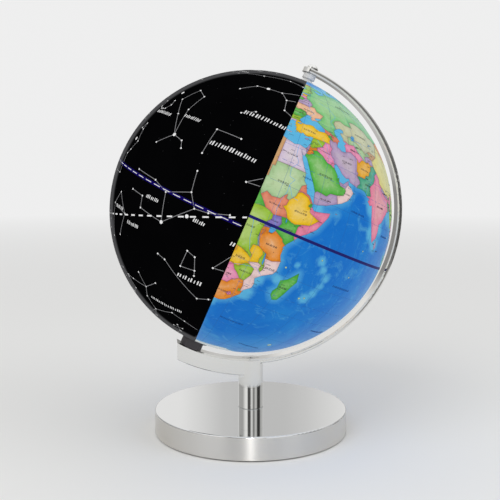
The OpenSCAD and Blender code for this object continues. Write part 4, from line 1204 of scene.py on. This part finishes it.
def paint_cad_nodes():
    paint(chrome("chrome_arc", rough=0.05), "meridian_arc")
    paint(chrome("chrome_nut", (0.94, 0.94, 0.93), 0.16), "acorn_nut")
    paint(chrome("chrome_stem", rough=0.035), "stem_tube")
    paint(chrome("chrome_arm", rough=0.09), "arm")
    paint(base_chrome("chrome_base"), "base_shell")
    paint(steel("zinc_steel"), "arc_screw", "arc_pins", "axis_pin", "lamp_base_screws", "nipple_washer",
          "base_plate_screws", "board_screws", "power_socket")
    paint(plastic("dark_plastic", srgb(70, 66, 70)), "lamp_base", "south_collar", "switch_button")
    paint(plastic("bush_plastic", (0.86, 0.86, 0.85, 1), 0.3), "north_bush", "pivot_spacer",
          "friction_washer", "lamp_post")
    paint(opal("shell_plastic"), "north_hemisphere", "south_hemisphere", "equator_ring", "led_diffuser")
    paint(ink("equator_print", srgb(26, 24, 96), 0.25), "equator_tape")
    paint(plastic("solder_mask", (0.02, 0.16, 0.06, 1), 0.3, 1200), "driver_board", "led_board")
    paint(plastic("phosphor", (0.85, 0.66, 0.2, 1), 0.4), "led_chips")
    paint(plastic("cable_sheath", (0.02, 0.02, 0.02, 1), 0.5), "lamp_cable")
    paint(brass("machined_brass"), "threaded_nipple", "nipple_nut")
    paint(plastic("cast_iron_paint", (0.06, 0.065, 0.07, 1), 0.6, 600, 0.0002), "ballast")
    paint(plastic("plate_plastic", (0.02, 0.02, 0.022, 1), 0.5), "base_plate")
    paint(plastic("foot_foam", (0.03, 0.03, 0.03, 1), 0.8, 900, 0.0002), "foot_pad")
    paint(plastic("chip_epoxy", (0.02, 0.02, 0.022, 1), 0.4), "board_parts", "socket_tongue", "switch_body")
    paint(plastic("plug_nylon", (0.72, 0.68, 0.54, 1), 0.4), "cable_plug")


# ---------- studio ----------

# What the polished metal sees round the horizon: each entry runs from one compass direction to
# another, in degrees from the front towards +X, and is followed by its brightness.
SURROUND = [
    (-180, -160, 0.9),  # pale wall behind
    (-140, -90, 0.5),  # grey wall at the left
    (-50, -40, 1.1),  # soft box, front left
    (-30, -12, 0.1),  # black flag
    (0, 8, 0.9),  # narrow soft box beside the camera
    (18, 26, 0.3),  # grey flag
    (38, 48, 0.7),  # soft box, front right
    (62, 84, 0.05),  # black flag
    (105, 140, 0.6),  # grey wall at the right
    (158, 166, 0.9),  # pale wall behind
    (172, 175, 0.6),  # its darker middle, seen in the top of the base
    (179, 180, 0.9),  # pale wall behind
]
# Share of that brightness that is left close to the horizon.
HORIZON = 0.32
SURROUND_TINT = (1.0, 0.985, 0.96, 1)


def surround_colour(tree, vector):
    """The surround's brightness in the compass direction of a vector."""
    parts = add(tree, "SeparateXYZ", {"Vector": vector})
    back = add(tree, "Math", {0: parts.outputs["Y"], 1: -1.0}, operation="MULTIPLY").outputs[0]
    turn = add(tree, "Math", {0: parts.outputs["X"], 1: back}, operation="ARCTAN2").outputs[0]
    ramp = add(tree, "ValToRGB", {"Fac": spread(tree, turn, -math.pi, math.pi)})
    ramp.color_ramp.interpolation = "EASE"
    stops = ramp.color_ramp.elements
    edges = [(angle, level) for start, end, level in SURROUND for angle in (start, end)]
    while len(stops) < len(edges):
        stops.new(0.5)
    for stop, (angle, level) in zip(stops, edges):
        stop.position = (angle + 180) / 360
        stop.color = (level, level, level, 1)
    return mix(tree, 1.0, ramp.outputs["Color"], SURROUND_TINT, "MULTIPLY")


def area_light(name, place, size, power, aim, mirrored=False):
    """Soft light, which polished metal sees only if mirrored is set."""
    data = bpy.data.lights.new(name, "AREA")
    data.shape = "RECTANGLE"
    data.size, data.size_y = size
    data.energy = power
    made = bpy.data.objects.new(name, data)
    bpy.context.scene.collection.objects.link(made)
    made.location = place
    made.rotation_euler = (Vector(aim) - Vector(place)).to_track_quat("-Z", "Y").to_euler()
    made.visible_glossy = mirrored
    return made


BACKDROP = (0.86, 0.86, 0.86, 1)
OVERHEAD = (0.92, 0.92, 0.92, 1)
EVEN_LIGHT = (0.68, 0.68, 0.68, 1)


def build_world():
    """Even light for the scene, a pale backdrop for the camera, and the surround for the metal."""
    world = bpy.data.worlds.new("studio")
    bpy.context.scene.world = world
    world.use_nodes = True
    tree = world.node_tree
    ray = add(tree, "LightPath").outputs
    view = add(tree, "TexCoord").outputs["Generated"]
    up = add(tree, "SeparateXYZ", {"Vector": view}).outputs["Z"]
    darkened = spread(tree, up, 0.1, 0.18, 1 - HORIZON, 0)
    surround = mix(tree, darkened, surround_colour(tree, view), (0, 0, 0, 1))
    seen_in_metal = mix(tree, spread(tree, up, 0.42, 0.7), surround, OVERHEAD)
    tone = mix(tree, ray["Is Glossy Ray"], EVEN_LIGHT, seen_in_metal)
    tone = mix(tree, ray["Is Camera Ray"], tone, BACKDROP)
    tree.links.new(tone, tree.nodes["Background"].inputs["Color"])


def floor_inputs(tree):
    """Pale paper that runs out into the backdrop; far off, the metal sees the surround in it."""
    cloud = noise(tree, 3, 3)
    place = add(tree, "NewGeometry").outputs["Position"]
    away = add(tree, "VectorMath", {0: place}, operation="LENGTH").outputs["Value"]
    beyond = spread(tree, away, 0.25, 0.5)
    mirrored = add(tree, "Math", {0: glossy_ray(tree), 1: beyond}, operation="MULTIPLY").outputs[0]
    far = spread(tree, away, 0.5, 2.2)
    covered = add(tree, "Math", {0: far, 1: mirrored}, operation="MAXIMUM").outputs[0]
    paper = mix(tree, cloud, (0.84, 0.84, 0.83, 1), (0.87, 0.87, 0.86, 1))
    darkened = spread(tree, away, 0.5, 1.4, 0, 1 - HORIZON)
    surround = mix(tree, darkened, surround_colour(tree, place), (0, 0, 0, 1))
    distant = mix(tree, mirrored, BACKDROP, surround)
    return {"Base Color": mix(tree, covered, paper, (0, 0, 0, 1)), "Roughness": 0.8,
            "Specular IOR Level": 0.0, "Emission Color": distant, "Emission Strength": covered}


FLOOR_SIZE = 30
FLOOR_DROP = 0.2 * MM
BALL_MIDDLE = (0, 0, 0.14)
BASE_MIDDLE = (0, 0, 0)


def build_floor():
    bpy.ops.mesh.primitive_plane_add(size=1, location=(0, 0, -FLOOR_DROP))
    floor = bpy.context.object
    floor.name = "floor"
    floor.scale = (FLOOR_SIZE, FLOOR_SIZE, 1)
    floor.data.materials.append(new_material("floor_paper", floor_inputs))


def build_studio():
    build_floor()
    build_world()
    area_light("key", (-0.9, -1.1, 1.5), (1.2, 1.2), power=12, aim=BALL_MIDDLE)
    area_light("fill", (1.3, -0.8, 0.9), (1.0, 1.2), power=5, aim=BALL_MIDDLE)
    # The narrow strip draws the upright streak on the base's side, and lights nothing else.
    strip = area_light("strip", (-0.12, -1.12, 0.17), (0.06, 0.2), power=1.5, aim=BASE_MIDDLE, mirrored=True)
    strip.light_linking.receiver_collection = bpy.data.collections.new("lit_by_strip")
    strip.light_linking.receiver_collection.objects.link(bpy.data.objects["base_shell"])
    bpy.context.scene.view_settings.view_transform = "Standard"


# Angles in degrees; sensor and focal length in millimetres; the shift is a share of the sensor.
CAMERA_AZIMUTH = -6.1
CAMERA_DOWN = 6.6
CAMERA_AWAY = 620 * MM
CAMERA_HEIGHT = 204.4 * MM
CAMERA_SENSOR = 36
CAMERA_LENS = 62.3
CAMERA_SHIFT = -0.0013


def build_camera():
    turn = math.radians(CAMERA_AZIMUTH)
    data = bpy.data.cameras.new("camera")
    data.sensor_width = CAMERA_SENSOR
    data.lens = CAMERA_LENS
    data.shift_x = CAMERA_SHIFT
    data.clip_start = 0.01
    camera = bpy.data.objects.new("camera", data)
    bpy.context.scene.collection.objects.link(camera)
    camera.location = (math.sin(turn) * CAMERA_AWAY, -math.cos(turn) * CAMERA_AWAY, CAMERA_HEIGHT)
    camera.rotation_euler = (math.radians(90 - CAMERA_DOWN), 0, turn)
    bpy.context.scene.camera = camera


coast_paths, border_paths = build_map()
build_chart()
print_map_lines(coast_paths, border_paths)
print_grid()
print_map_labels()
print_chart()
print_circles()
paint_cad_nodes()
build_studio()
build_camera()
